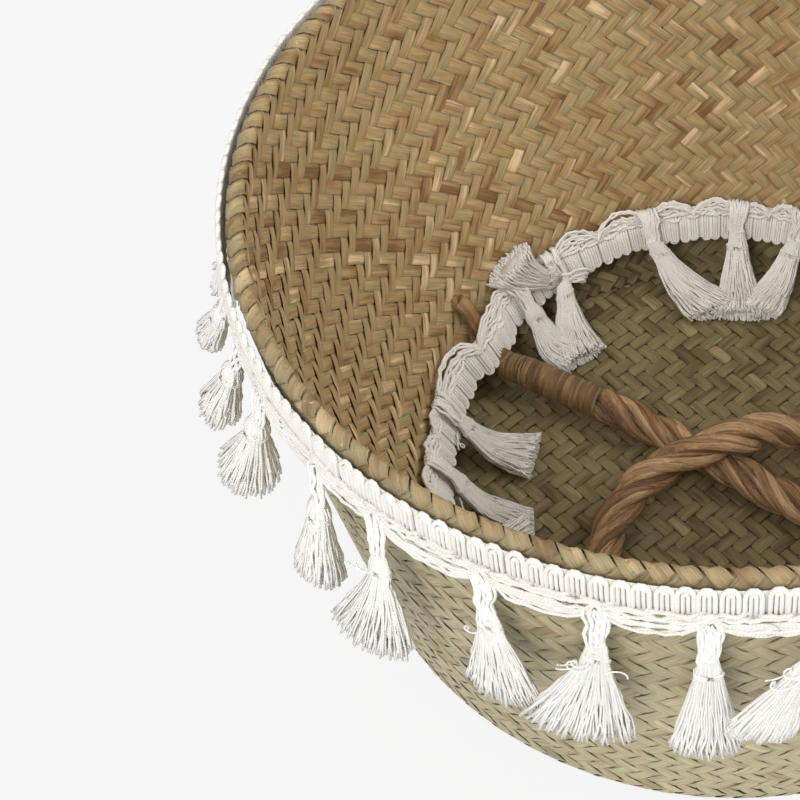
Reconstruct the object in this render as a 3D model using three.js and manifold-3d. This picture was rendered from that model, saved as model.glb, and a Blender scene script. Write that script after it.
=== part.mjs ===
// A round belly basket plaited from seagrass, its top half pushed down inside its bottom half.
// Cotton tassel trim runs under the fold and along the rim, and two rope handles hang at the rim.
import * as THREE from "three";
import { mergeVertices } from "three/addons/utils/BufferGeometryUtils.js";
import Module from "manifold-3d";

const wasm = await Module();
wasm.setup();

// Driving dimensions, in millimetres and degrees

// The clearance between pieces that touch
const GAP = 0.35;

// The plaited body
const FOLD_RADIUS = 160;
const BODY_HEIGHT = 181;
const WEAVE_THICKNESS = 3;
const FOLD_BEND = 4;
const FOOT_RADIUS = 137;
const CORNER_RADIUS = 20;
const BELLY_CURVE = 1.15;

// The folded-in half: its rim lies low inside and is a little oval
const RIM_RADIUS = 112;
const RIM_HEIGHT = 16;
const FUNNEL_CURVE = 1.8;
const RIM_OVAL_X = 0.925;
const RIM_OVAL_Y = 1.075;
const RIM_OVAL_CURVE = 3;

// The tassel trim
const TRIM_WIDTH = 16;
const TRIM_THICKNESS = 2.6;
const TRIM_DROP = 1.5;
const TASSEL_LENGTH = 66;
const TASSEL_STEM = 2.6;
const TASSEL_HEAD = 4.3;
const TASSEL_SKIRT = 8;
const TASSEL_FLATNESS = 0.55;
const RIM_TASSEL_REACH = 20;
const TIE_YARN = 0.9;

// Where the tassels hang round the basket: those on the seen side, then the rest evenly spaced
const FOLD_TASSELS_SEEN = [197, 204, 211.5, 223.5, 232.5, 246, 258, 269, 281];
const FOLD_TASSELS_MORE = 25;
const RIM_TASSELS_BACK = [[74, 87.5], [107], [130, 140]];
const RIM_TASSELS_LEFT = [172, 185, 200];
const RIM_TASSEL_PITCH = 16;
const LEG_CLEARANCE = 12;

// The rope handles: where their legs stand, and how the ropes lie
const LEFT_HANDLE_LEGS = [152, 239];
const RIGHT_HANDLE_LEGS = [332, 59];
const ROPE_RADIUS = 6.8;
const BOUND_RADIUS = 4.7;
const HINGE_BALL = 4;
const HINGE_INSET = 17;
const HINGE_HEIGHT = 14;
const RIGHT_HANDLE_LEAN = 26.2;
const RIGHT_HANDLE_REACH = 172;

// The strip wound round each leg of a handle
const STRIP_HALF_WIDTH = 1.05;
const STRIP_HALF_THICKNESS = 0.7;
const WHIPPING_PITCH = 3;
const WHIPPING_TURNS = 10;
const WHIPPING_START = 5;

// The rope's tails, which are knotted behind the wall and come down under the rim trim
const TAIL_RADIUS = 3;
const TAIL_FLAT = 1.5;
const TAIL_STAND_OFF = 0.95;
const KNOT_RADIUS = 5.3;
const KNOT_LENGTH = 5.4;
const HOLE_ABOVE_RIM = 24.5;

// How finely round shapes are divided
const BODY_SEGMENTS = 40;
const RIM_TRIM_SEGMENTS = 80;
const ROPE_SIDES = 8;
const TASSEL_SIDES = 6;
const STRIP_SIDES = 4;
const STRIP_STEPS = 12;

const materials = {
  seagrass: new THREE.MeshStandardMaterial({ color: 0xa58a62, roughness: 0.85, metalness: 0 }),
  cotton: new THREE.MeshStandardMaterial({ color: 0xf2eee6, roughness: 0.95, metalness: 0 }),
  rope: new THREE.MeshStandardMaterial({ color: 0x96704a, roughness: 0.8, metalness: 0 }),
  whipping: new THREE.MeshStandardMaterial({ color: 0x8a6a3f, roughness: 0.75, metalness: 0 }),
};

const basket = new THREE.Group();
const radians = THREE.MathUtils.degToRad;
const lerp = THREE.MathUtils.lerp;
const clamp = THREE.MathUtils.clamp;

function addPiece(name, geometry, material) {
  const mesh = new THREE.Mesh(geometry, material);
  mesh.name = name;
  basket.add(mesh);
}

const numbered = (stem, index) => stem + "_" + String(index + 1).padStart(2, "0");

// Shapes of the walls

const foldCentre = { r: FOLD_RADIUS - FOLD_BEND, z: BODY_HEIGHT - FOLD_BEND };
const funnelTopRadius = foldCentre.r - FOLD_BEND + WEAVE_THICKNESS / 2;

// The outside radius of the lower wall at a height
function wallRadius(z) {
  const down = (foldCentre.z - z) / (foldCentre.z - CORNER_RADIUS);
  return FOLD_RADIUS - (FOLD_RADIUS - FOOT_RADIUS) * Math.max(down, 0) ** BELLY_CURVE;
}

// The middle of the folded-in wall at a height, before it is made oval
function funnelRadius(z) {
  const down = clamp((foldCentre.z - z) / (foldCentre.z - RIM_HEIGHT), 0, 1);
  return lerp(funnelTopRadius, RIM_RADIUS, down ** FUNNEL_CURVE);
}

// How much the folded-in wall's radius grows with height
const funnelSlope = (z) => funnelRadius(z + 1) - funnelRadius(z);

// How far the flat facets of the wall stand inside its true curve, round it and up it
const facetDip = RIM_RADIUS * (1 - Math.cos(Math.PI / BODY_SEGMENTS)) + FUNNEL_CURVE / 10;

// The radius of the face of the folded-in wall that shows
function funnelFace(z) {
  const halfThickness = (WEAVE_THICKNESS / 2) * Math.hypot(1, funnelSlope(z));
  return funnelRadius(z) - halfThickness - facetDip;
}

// A point of the folded-in half, at an angle round the basket: oval at the rim, round at the fold
function funnelPoint(angle, r, z) {
  const down = clamp((foldCentre.z - z) / (foldCentre.z - RIM_HEIGHT), 0, 1);
  const share = down ** RIM_OVAL_CURVE;
  const x = r * Math.cos(angle) * lerp(1, RIM_OVAL_X, share);
  const y = r * Math.sin(angle) * lerp(1, RIM_OVAL_Y, share);
  return new THREE.Vector3(x, y, z);
}

// A point outside the basket, at an angle round it
const wallPoint = (angle, r, z) =>
  new THREE.Vector3(r * Math.cos(angle), r * Math.sin(angle), z);

// Points of an arc in a section, from one angle to another
function arc(centreR, centreZ, radius, from, to, steps) {
  return Array.from({ length: steps + 1 }, (_, i) => {
    const a = radians(lerp(from, to, i / steps));
    return new THREE.Vector2(centreR + radius * Math.cos(a), centreZ + radius * Math.sin(a));
  });
}

// Evenly spaced values after the first, up to and with the last
const stepsTo = (from, to, count) =>
  Array.from({ length: count }, (_, i) => lerp(from, to, (i + 1) / count));

// Closed meshes

// A section turned about +Z, whose points are placed by a function of angle, radius and height
function turned(section, segments, place) {
  const geometry = new THREE.LatheGeometry(section, segments);
  const positions = geometry.getAttribute("position");
  for (let i = 0; i < positions.count; i++) {
    const step = Math.floor(i / section.length) % segments;
    const index = i % section.length;
    const angle = (step / segments) * 2 * Math.PI;
    const p = place(angle, section[index].x, section[index].y, index);
    positions.setXYZ(i, p.x, p.y, p.z);
  }
  return geometry;
}

// A sideways direction at each share of a curve, each turned as little as possible from the last
function carriedSides(curve, shares) {
  const start = curve.getTangentAt(shares[0]);
  let side = new THREE.Vector3(0, 0, 1).cross(start).normalize();
  return shares.map((share) => {
    const along = curve.getTangentAt(share);
    side = side.clone().addScaledVector(along, -side.dot(along)).normalize();
    return side;
  });
}

// A closed solid along a curve. Each row of the profile is a share of the length, then the half
// width along the side direction there, then the half thickness square to it.
function swept(curve, profile, sides, sidesAt) {
  const count = profile.length;
  const across = sidesAt ?? carriedSides(curve, profile.map(([share]) => share));
  const geometry = new THREE.LatheGeometry(profile.map((_, i) => new THREE.Vector2(1, i)), sides);
  const positions = geometry.getAttribute("position");
  for (let i = 0; i < positions.count; i++) {
    const station = i % count;
    const turn = ((Math.floor(i / count) % sides) / sides) * 2 * Math.PI;
    const [share, width, thickness = width] = profile[station];
    const normal = curve.getTangentAt(share).cross(across[station]).normalize();
    const p = curve.getPointAt(share);
    p.addScaledVector(across[station], width * Math.cos(turn));
    p.addScaledVector(normal, thickness * Math.sin(turn));
    positions.setXYZ(i, p.x, p.y, p.z);
  }
  return geometry;
}

const curveThrough = (points) => new THREE.CatmullRomCurve3(points, false, "centripetal");

function solidOf(geometry) {
  const bare = geometry.clone();
  bare.deleteAttribute("normal");
  bare.deleteAttribute("uv");
  const merged = mergeVertices(bare, 1e-3);
  const corners = merged.index.array;
  const kept = [];
  for (let i = 0; i < corners.length; i += 3) {
    const [a, b, c] = corners.subarray(i, i + 3);
    if (a !== b && b !== c && c !== a) kept.push(a, b, c);
  }
  const mesh = new wasm.Mesh({
    numProp: 3,
    vertProperties: new Float32Array(merged.getAttribute("position").array),
    triVerts: new Uint32Array(kept),
  });
  return new wasm.Manifold(mesh);
}

function geometryOf(solid) {
  const mesh = solid.getMesh();
  const geometry = new THREE.BufferGeometry();
  geometry.setAttribute("position", new THREE.BufferAttribute(mesh.vertProperties, 3));
  geometry.setIndex(new THREE.BufferAttribute(mesh.triVerts, 1));
  return geometry;
}

// The plaited body

// The middle of the weave: base, corner, lower wall and fold, then the folded-in wall to its rim
function weaveLine() {
  const half = WEAVE_THICKNESS / 2;
  const corner = arc(FOOT_RADIUS - CORNER_RADIUS, CORNER_RADIUS, CORNER_RADIUS - half, -90, 0, 4);
  const wall = stepsTo(CORNER_RADIUS, foldCentre.z, 6).map(
    (z) => new THREE.Vector2(wallRadius(z) - half, z),
  );
  const fold = arc(foldCentre.r, foldCentre.z, FOLD_BEND - half, 0, 180, 5).slice(1);
  const folded = stepsTo(foldCentre.z, RIM_HEIGHT, 8).map(
    (z) => new THREE.Vector2(funnelRadius(z), z),
  );
  const outer = [new THREE.Vector2(0, half), ...corner, ...wall, ...fold];
  return { outer, folded };
}

// The section of a sheet whose middle runs through the points
function thicken(points, thickness) {
  const face = (side) =>
    points.map((p, i) => {
      const before = points[Math.max(i - 1, 0)];
      const after = points[Math.min(i + 1, points.length - 1)];
      const along = after.clone().sub(before).normalize();
      const x = p.x + (side * thickness * along.y) / 2;
      return new THREE.Vector2(Math.max(x, 0), p.y - (side * thickness * along.x) / 2);
    });
  return [...face(1), ...face(-1).reverse()];
}

const legAngles = [...LEFT_HANDLE_LEGS, ...RIGHT_HANDLE_LEGS].map(radians);

// The middle of a rope hole in the folded-in wall and the way through it, as radius and height
function ropeHole() {
  const z = RIM_HEIGHT + HOLE_ABOVE_RIM;
  const inwards = new THREE.Vector2(-1, funnelSlope(z)).normalize();
  return { middle: new THREE.Vector2(funnelRadius(z), z), inwards };
}

function holeCutter(angle) {
  const { middle, inwards } = ropeHole();
  const ends = [-3, 3].map((side) =>
    middle.clone().addScaledVector(inwards, side * WEAVE_THICKNESS),
  );
  const path = new THREE.LineCurve3(...ends.map((p) => funnelPoint(angle, p.x, p.y)));
  const radius = TAIL_RADIUS + 2 * GAP;
  return swept(path, [[0, 0], [0, radius], [1, radius], [1, 0]], 10);
}

function wovenBody() {
  const { outer, folded } = weaveLine();
  const count = outer.length + folded.length;
  const section = thicken([...outer, ...folded], WEAVE_THICKNESS);
  const body = turned(section, BODY_SEGMENTS, (angle, r, z, index) => {
    const step = index < count ? index : section.length - 1 - index;
    return step < outer.length ? wallPoint(angle, r, z) : funnelPoint(angle, r, z);
  });
  const cutters = legAngles.map((angle) => solidOf(holeCutter(angle)));
  return geometryOf(cutters.reduce((solid, cutter) => solid.subtract(cutter), solidOf(body)));
}

// The trim bands

const foldTrimTop = BODY_HEIGHT - TRIM_DROP;
const foldTrimFoot = foldTrimTop - TRIM_WIDTH;
const rimTrimTop = RIM_HEIGHT + TRIM_WIDTH;

// The section of a band on a wall face, which lies outside the wall (1) or inside it (-1)
function bandSection(bottom, top, faceAt, away) {
  const stations = [bottom, (bottom + top) / 2, top];
  const near = stations.map((z) => new THREE.Vector2(faceAt(z) + away * GAP, z));
  const far = near.map((p) => new THREE.Vector2(p.x + away * TRIM_THICKNESS, p.y));
  const [outer, inner] = away > 0 ? [far, near] : [near, far];
  return [...outer, ...inner.reverse(), outer[0].clone()];
}

function foldTrim() {
  const widest = () => wallRadius(foldTrimTop);
  return turned(bandSection(foldTrimFoot, foldTrimTop, widest, 1), BODY_SEGMENTS, wallPoint);
}

// The angle between two directions, at most half a turn
const apart = (a, b) => Math.abs(Math.atan2(Math.sin(a - b), Math.cos(a - b)));

// How far the rim trim stands off the wall where it passes over a rope tail
function trimLift(angle) {
  const nearest = Math.min(...legAngles.map((leg) => apart(angle, leg)));
  const reach = radians(8);
  return 2 * (TAIL_FLAT + 1.5 * GAP) * clamp(2.5 * (1 - nearest / reach), 0, 1);
}

function rimTrim() {
  const section = bandSection(RIM_HEIGHT, rimTrimTop, funnelFace, -1);
  const place = (angle, r, z) => funnelPoint(angle, r - trimLift(angle), z);
  return turned(section, RIM_TRIM_SEGMENTS, place);
}

// Tassels

// A tassel's half width at shares of its length: stem, tied head and skirt
const TASSEL_FORM = [
  [0, TASSEL_STEM],
  [0.26, TASSEL_STEM],
  [0.36, TASSEL_HEAD],
  [0.46, (TASSEL_STEM + TASSEL_HEAD) / 2],
  [0.7, (TASSEL_HEAD + TASSEL_SKIRT) / 2],
  [1, TASSEL_SKIRT],
];

function tasselWidth(share) {
  const after = Math.max(TASSEL_FORM.findIndex(([at]) => at >= share), 1);
  const [[from, widthFrom], [to, widthTo]] = TASSEL_FORM.slice(after - 1, after + 1);
  return lerp(widthFrom, widthTo, (share - from) / (to - from));
}

// A tassel along a path that has bends at some shares of its length, flat face out at an angle
function tassel(path, angle, bends = []) {
  const sideways = new THREE.Vector3(-Math.sin(angle), Math.cos(angle), 0);
  const shares = [...TASSEL_FORM.map(([share]) => share), ...bends].sort((a, b) => a - b);
  const sections = shares.map((share) => {
    const width = tasselWidth(share);
    return [share, width, width * TASSEL_FLATNESS];
  });
  const profile = [[0, 0], ...sections, [1, 0]];
  return swept(path, profile, TASSEL_SIDES, profile.map(() => sideways));
}

function foldTassel(angle) {
  const top = foldTrimFoot - GAP;
  const r = wallRadius(foldTrimTop) + GAP + TASSEL_HEAD * TASSEL_FLATNESS;
  const path = new THREE.LineCurve3(
    wallPoint(angle, r, top),
    wallPoint(angle, r, top - TASSEL_LENGTH),
  );
  return tassel(path, angle);
}

const stemHeight = rimTrimTop + GAP + TASSEL_STEM * TASSEL_FLATNESS;

// A rim tassel leaves the top of its trim, falls over the trim and lies inwards on the base
function rimTasselPath(angle) {
  const lying = WEAVE_THICKNESS + GAP + TASSEL_SKIRT * TASSEL_FLATNESS;
  const clear = TRIM_THICKNESS + 4 * GAP + TASSEL_HEAD * TASSEL_FLATNESS;
  const topR = funnelFace(rimTrimTop) - GAP;
  const bottomR = funnelFace(RIM_HEIGHT) - clear - TASSEL_HEAD * TASSEL_FLATNESS / 2;
  const hanging = [
    [topR - 1, stemHeight],
    [topR - TRIM_THICKNESS - GAP, stemHeight + 1.5 * GAP],
    [topR - TRIM_THICKNESS - TASSEL_STEM - GAP, rimTrimTop + 1.5 * GAP],
    [funnelFace(RIM_HEIGHT + TRIM_WIDTH / 2) - clear, RIM_HEIGHT + TRIM_WIDTH / 2],
    [bottomR, RIM_HEIGHT - 1],
    [bottomR - TASSEL_SKIRT, lying + 2],
  ].map(([r, z]) => funnelPoint(angle, r, z));
  const landing = hanging[hanging.length - 1];
  const end = landing.clone().addScaledVector(lieDirection(angle, landing), RIM_TASSEL_REACH);
  return curveThrough([...hanging, end.setZ(lying)]);
}

// Which way a rim tassel lies: along the nearest leg of the left handle, or to the middle
function lieDirection(angle, from) {
  const beside = leftLegs.find(({ at }) => apart(angle, at) < radians(1.3 * LEG_CLEARANCE));
  return beside ? beside.along : from.clone().setZ(0).negate().normalize();
}

// The yarn along the top of the rim trim that joins two neighbouring tassels
function tieYarn(from, to) {
  const shares = [0, 0.25, 0.5, 0.75, 1];
  const r = funnelFace(rimTrimTop) - GAP - TRIM_THICKNESS * 0.8;
  const points = shares.map((share) => funnelPoint(lerp(from, to, share), r, stemHeight));
  const profile = [[0, 0], ...shares.map((share) => [share, TIE_YARN]), [1, 0]];
  return swept(curveThrough(points), profile, TASSEL_SIDES);
}

function rimTassels(angles) {
  const solids = angles.map((angle) =>
    solidOf(tassel(rimTasselPath(angle), angle, [0.05, 0.1, 0.17, 0.58])),
  );
  if (angles.length > 1) solids.push(solidOf(tieYarn(...angles)));
  return geometryOf(solids.reduce((whole, solid) => whole.add(solid)));
}

// The seen angles, then more at an even spacing until the ring closes
function closeRing(seen, more) {
  const last = seen[seen.length - 1];
  return [...seen, ...stepsTo(last, 360 + seen[0], more + 1).slice(0, -1)];
}

// Tassel angles that fill the rim between one leg and the next
function betweenLegs(from, to) {
  const [first, last] = [from + LEG_CLEARANCE, to - LEG_CLEARANCE];
  const count = Math.round((last - first) / RIM_TASSEL_PITCH);
  return [first, ...stepsTo(first, last, count)];
}

function rimTasselGroups() {
  const [, leftFront] = LEFT_HANDLE_LEGS;
  const [rightFront, rightBack] = RIGHT_HANDLE_LEGS;
  const left = [...RIM_TASSELS_LEFT, leftFront - 1.25 * LEG_CLEARANCE];
  const front = betweenLegs(leftFront, rightFront);
  const right = betweenLegs(rightFront, rightBack + 360);
  const pairs = (angles) =>
    Array.from({ length: Math.ceil(angles.length / 2) }, (_, i) => angles.slice(2 * i, 2 * i + 2));
  return [...RIM_TASSELS_BACK, ...[left, front, right].flatMap(pairs)];
}

// Handles

const whippingLength = WHIPPING_PITCH * WHIPPING_TURNS;
const boundLength = WHIPPING_START + whippingLength + WHIPPING_PITCH / 2;
const ropeLying = WEAVE_THICKNESS + GAP + ROPE_RADIUS;

const hingePoint = (degrees) =>
  funnelPoint(radians(degrees), RIM_RADIUS - HINGE_INSET, HINGE_HEIGHT);

// The leg of a rope: straight from its hinge towards a point, a little past its whipping
function straightLeg(hinge, towards) {
  const along = towards.clone().sub(hinge).normalize();
  return [0, 0.35, 0.7, 1.1].map((share) => hinge.clone().addScaledVector(along, share * boundLength));
}

// The middle of the left rope as it lies, as shares of the rim radius and of the height at which
// the rope passes over itself
const LEFT_ROPE_LAY = [
  [-0.28, 0.24, 0.04],
  [-0.11, 0.13, 0],
  [0.06, 0.02, 0],
  [0.25, -0.1, 0],
  [0.41, -0.15, 0],
  [0.5, -0.05, 0],
  [0.5, 0.08, 0],
  [0.4, 0.18, 0.06],
  [0.25, 0.18, 0.34],
  [0.1, 0.12, 0.82],
  [-0.05, 0.04, 1],
  [-0.27, -0.08, 0.55],
  [-0.37, -0.25, 0.12],
  [-0.39, -0.4, 0.04],
];
const passOver = 2 * ROPE_RADIUS + 2 * GAP;

function leftRopePoints() {
  const lay = LEFT_ROPE_LAY.map(
    ([x, y, over]) => new THREE.Vector3(x * RIM_RADIUS, y * RIM_RADIUS, ropeLying + over * passOver),
  );
  const [back, front] = LEFT_HANDLE_LEGS.map(hingePoint);
  const start = straightLeg(back, lay[0]);
  const end = straightLeg(front, lay[lay.length - 1]);
  return [...start, ...lay.slice(1), ...end.reverse()];
}

const leftLegs = LEFT_HANDLE_LEGS.map((degrees, i) => {
  const [x, y] = LEFT_ROPE_LAY[i === 0 ? 0 : LEFT_ROPE_LAY.length - 1];
  const along = new THREE.Vector3(x * RIM_RADIUS, y * RIM_RADIUS, HINGE_HEIGHT);
  return { at: radians(degrees), along: along.sub(hingePoint(degrees)).normalize() };
});

// The right rope stands as an arch: shares of half its span and of its reach from the hinge line
const RIGHT_ROPE_ARCH = [
  [0.95, 0.24],
  [0.88, 0.5],
  [0.7, 0.76],
  [0.38, 0.95],
  [0, 1],
];

function rightRopePoints() {
  const [front, back] = RIGHT_HANDLE_LEGS.map(hingePoint);
  const middle = front.clone().lerp(back, 0.5);
  const halfSpan = back.clone().sub(middle);
  const outwards = halfSpan.clone().normalize().cross(new THREE.Vector3(0, 0, 1));
  const lean = radians(RIGHT_HANDLE_LEAN);
  const rise = outwards.multiplyScalar(Math.sin(lean)).setZ(Math.cos(lean));
  const place = (side, height) =>
    middle
      .clone()
      .addScaledVector(halfSpan, side)
      .addScaledVector(rise, height * RIGHT_HANDLE_REACH);
  const [first, ...others] = RIGHT_ROPE_ARCH;
  const start = straightLeg(front, place(-first[0], first[1]));
  const end = straightLeg(back, place(...first));
  const up = others.map(([side, height]) => place(-side, height));
  const down = others.slice(0, -1).map(([side, height]) => place(side, height));
  return [...start, ...up, ...down.reverse(), ...end.reverse()];
}

// Half widths along a handle rope: a ball at each hinge, thin under the whippings, full between
function ropeProfile(length) {
  const end = [
    [0.4, HINGE_BALL * 0.55],
    [1.6, HINGE_BALL * 0.9],
    [HINGE_BALL, BOUND_RADIUS],
    [boundLength, BOUND_RADIUS],
    [boundLength + ROPE_RADIUS / 2, ROPE_RADIUS],
  ].map(([along, radius]) => [along / length, radius]);
  const full = end[end.length - 1][0];
  const middle = stepsTo(full, 1 - full, 40).map((share) => [share, ROPE_RADIUS]);
  const mirrored = end.map(([share, radius]) => [1 - share, radius]).reverse();
  return [[0, 0], ...end, ...middle.slice(0, -1), ...mirrored, [1, 0]];
}

function handleRope(points) {
  const curve = curveThrough(points);
  curve.arcLengthDivisions = 1000;
  return swept(curve, ropeProfile(curve.getLength()), ROPE_SIDES);
}

// The strip's path round a leg that starts at a hinge and runs along a direction
class Winding extends THREE.Curve {
  constructor(hinge, along) {
    super();
    this.hinge = hinge;
    this.along = along;
    this.across = new THREE.Vector3(0, 0, 1).cross(along).normalize();
    this.up = along.clone().cross(this.across);
    const chordDip = Math.cos(Math.PI / STRIP_STEPS);
    this.radius = (BOUND_RADIUS + GAP) / chordDip + STRIP_HALF_THICKNESS;
  }

  getPoint(share) {
    const turn = share * WHIPPING_TURNS * 2 * Math.PI;
    return this.hinge
      .clone()
      .addScaledVector(this.along, WHIPPING_START + share * whippingLength)
      .addScaledVector(this.across, this.radius * Math.cos(turn))
      .addScaledVector(this.up, this.radius * Math.sin(turn));
  }

  getPointAt(share) {
    return this.getPoint(share);
  }

  getTangentAt(share) {
    return this.getTangent(share);
  }
}

function whipping(points) {
  const [hinge, next] = points;
  const along = next.clone().sub(hinge).normalize();
  const winding = new Winding(hinge, along);
  const steps = STRIP_STEPS * WHIPPING_TURNS;
  const shares = [0, ...stepsTo(0, 1, steps)];
  const strip = shares.map((share) => [share, STRIP_HALF_WIDTH, STRIP_HALF_THICKNESS]);
  const profile = [[0, 0], ...strip, [1, 0]];
  const across = profile.map(([share]) => {
    const tangent = winding.getTangentAt(share);
    return along.clone().addScaledVector(tangent, -along.dot(tangent)).normalize();
  });
  return swept(winding, profile, STRIP_SIDES, across);
}

// The least distance between points of a strip that are more than half a turn apart
function leastGap(geometry) {
  const positions = geometry.getAttribute("position");
  const count = STRIP_STEPS * WHIPPING_TURNS + 3;
  const a = new THREE.Vector3();
  const b = new THREE.Vector3();
  let least = Infinity;
  for (let i = 0; i < positions.count; i++) {
    for (let j = i + 1; j < positions.count; j++) {
      if (Math.abs((i % count) - (j % count)) < STRIP_STEPS / 2) continue;
      a.fromBufferAttribute(positions, i);
      b.fromBufferAttribute(positions, j);
      least = Math.min(least, a.distanceTo(b));
    }
  }
  return least;
}

// A rope tail: a knot behind the wall, through the hole, down under the trim, to the hinge ball
function ropeTail(degrees) {
  const angle = radians(degrees);
  const { middle, inwards } = ropeHole();
  const behind = -(WEAVE_THICKNESS / 2 + GAP + KNOT_LENGTH);
  const through = (distance) => {
    const p = middle.clone().addScaledVector(inwards, distance);
    return [p.x, p.y];
  };
  const onFace = (z) => [funnelFace(z) - GAP - TAIL_FLAT, z];
  const offFace = (z) => [funnelFace(z) - TAIL_STAND_OFF - TAIL_FLAT, z];
  const underTrim = RIM_HEIGHT - GAP - 2 * TAIL_FLAT;
  const end = RIM_RADIUS - HINGE_INSET + HINGE_BALL + GAP;
  const path = curveThrough(
    [
      through(behind),
      through(0),
      through(WEAVE_THICKNESS),
      through(WEAVE_THICKNESS + TAIL_RADIUS).map((at, i) => at - i * TAIL_RADIUS),
      offFace(rimTrimTop + 1),
      onFace(rimTrimTop - TRIM_WIDTH / 2),
      onFace(RIM_HEIGHT + 1),
      [lerp(funnelFace(RIM_HEIGHT), end, 0.55), underTrim],
      [end, HINGE_HEIGHT - 1],
    ].map(([r, z]) => funnelPoint(angle, r, z)),
  );
  const length = path.getLength();
  const knot = [
    [0, 0],
    [0, KNOT_RADIUS * 0.7],
    [KNOT_LENGTH * 0.3, KNOT_RADIUS],
    [KNOT_LENGTH * 0.7, KNOT_RADIUS],
    [KNOT_LENGTH - 0.3, TAIL_RADIUS],
  ].map(([along, radius]) => [along / length, radius]);
  const flat = stepsTo(0.34, 1, 9).map((share) => [share, TAIL_RADIUS, TAIL_FLAT]);
  const round = stepsTo(0.2, 0.34, 3).map((share) => [share, TAIL_RADIUS, TAIL_RADIUS * 0.9]);
  const profile = [...knot, ...round, ...flat, [1, 0]];
  const sideways = new THREE.Vector3(-Math.sin(angle), Math.cos(angle), 0);
  return swept(path, profile, ROPE_SIDES, profile.map(() => sideways));
}

// Each handle is a rope with a whipping on either leg; its tails stay with the body
function addHandle(side, legs, ends, points) {
  addPiece(side + "_handle_rope", handleRope(points), materials.rope);
  const legPoints = [points, [...points].reverse()];
  ends.forEach((end, i) => {
    const strip = whipping(legPoints[i]);
    console.log(side + "_whipping_" + end + " least gap " + leastGap(strip).toFixed(2) + " mm");
    addPiece(side + "_whipping_" + end, strip, materials.whipping);
    addPiece(side + "_tail_" + end, ropeTail(legs[i]), materials.rope);
  });
}

addPiece("woven_body", wovenBody(), materials.seagrass);
addPiece("fold_trim_braid", foldTrim(), materials.cotton);
addPiece("rim_trim_braid", rimTrim(), materials.cotton);
closeRing(FOLD_TASSELS_SEEN, FOLD_TASSELS_MORE).forEach((degrees, i) => {
  addPiece(numbered("fold_tassel", i), foldTassel(radians(degrees)), materials.cotton);
});
rimTasselGroups().forEach((group, i) => {
  addPiece(numbered("rim_tassels", i), rimTassels(group.map(radians)), materials.cotton);
});
addHandle("left", LEFT_HANDLE_LEGS, ["back", "front"], leftRopePoints());
addHandle("right", RIGHT_HANDLE_LEGS, ["front", "back"], rightRopePoints());

export default basket;
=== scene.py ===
"""A plaited belly basket with cotton tassel trim and rope handles, dressed for its picture.

The top half of the basket is folded down inside the lower half. The plait is built strip by strip
round the outside, over the fold and down the inside; the trims, tassels, ropes and whippings are
built yarn by yarn. All lengths are in metres.
"""

import logging
import math
from collections.abc import Callable
from dataclasses import dataclass, field
from enum import Enum

import bpy
import numpy as np
from mathutils import Euler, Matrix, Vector

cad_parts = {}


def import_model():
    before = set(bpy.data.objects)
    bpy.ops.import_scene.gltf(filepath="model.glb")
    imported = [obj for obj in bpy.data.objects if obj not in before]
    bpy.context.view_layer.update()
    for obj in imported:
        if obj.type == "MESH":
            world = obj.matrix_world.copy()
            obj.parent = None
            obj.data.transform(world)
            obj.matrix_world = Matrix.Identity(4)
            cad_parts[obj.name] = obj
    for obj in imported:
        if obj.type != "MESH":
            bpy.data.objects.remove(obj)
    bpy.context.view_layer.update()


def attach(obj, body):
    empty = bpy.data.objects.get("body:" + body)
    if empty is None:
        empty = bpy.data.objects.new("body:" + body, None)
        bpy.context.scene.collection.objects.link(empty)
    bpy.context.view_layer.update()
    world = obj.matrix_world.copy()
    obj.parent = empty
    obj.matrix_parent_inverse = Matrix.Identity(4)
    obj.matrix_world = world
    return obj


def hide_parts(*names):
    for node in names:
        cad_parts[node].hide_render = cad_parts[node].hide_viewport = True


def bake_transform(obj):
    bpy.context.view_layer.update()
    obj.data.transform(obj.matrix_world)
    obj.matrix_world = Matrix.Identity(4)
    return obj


Array = np.ndarray
Material = bpy.types.Material
Rng = np.random.Generator
Place = Callable[[Array, Array, Array], Array]

STEP = 0.001
TAU = 2 * math.pi
STEPS_PER_TURN = 26
WOBBLE_REACH = 1.93
UP = np.array((0.0, 0.0, 1.0))
log = logging.getLogger("basket")


class Body(Enum):
    """The bodies of the basket that move against each other."""

    BASKET = "basket"
    LEFT = "left_handle"
    RIGHT = "right_handle"


class Slot(Enum):
    """The finishes that a scene may repaint."""

    SEAGRASS = "seagrass"
    COTTON = "cotton"
    ROPE = "rope"
    WHIPPING = "whipping"


# Vectors and lines


def unit(vectors: Array) -> Array:
    """Vectors at length one."""
    return vectors / np.maximum(np.linalg.norm(vectors, axis=-1, keepdims=True), 1e-12)


def apart(a: Array | float, b: float) -> Array:
    """The angle between two directions, in radians."""
    return np.abs(np.arctan2(np.sin(a - b), np.cos(a - b)))


def ways(angle: float) -> tuple[Array, Array]:
    """The directions outwards and sideways at an angle round the basket."""
    x, y = math.cos(angle), math.sin(angle)
    return np.array((x, y, 0.0)), np.array((-y, x, 0.0))


def around(side: Array, up: Array, turn: Array) -> Array:
    """The directions across a line at angles from its side."""
    return side * np.cos(turn)[..., None] + up * np.sin(turn)[..., None]


def slope_at(radius: Callable[[float], Array], z: float) -> float:
    """How much a radius grows with the height, at a height."""
    return float(radius(z + STEP) - radius(z)) / STEP


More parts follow.
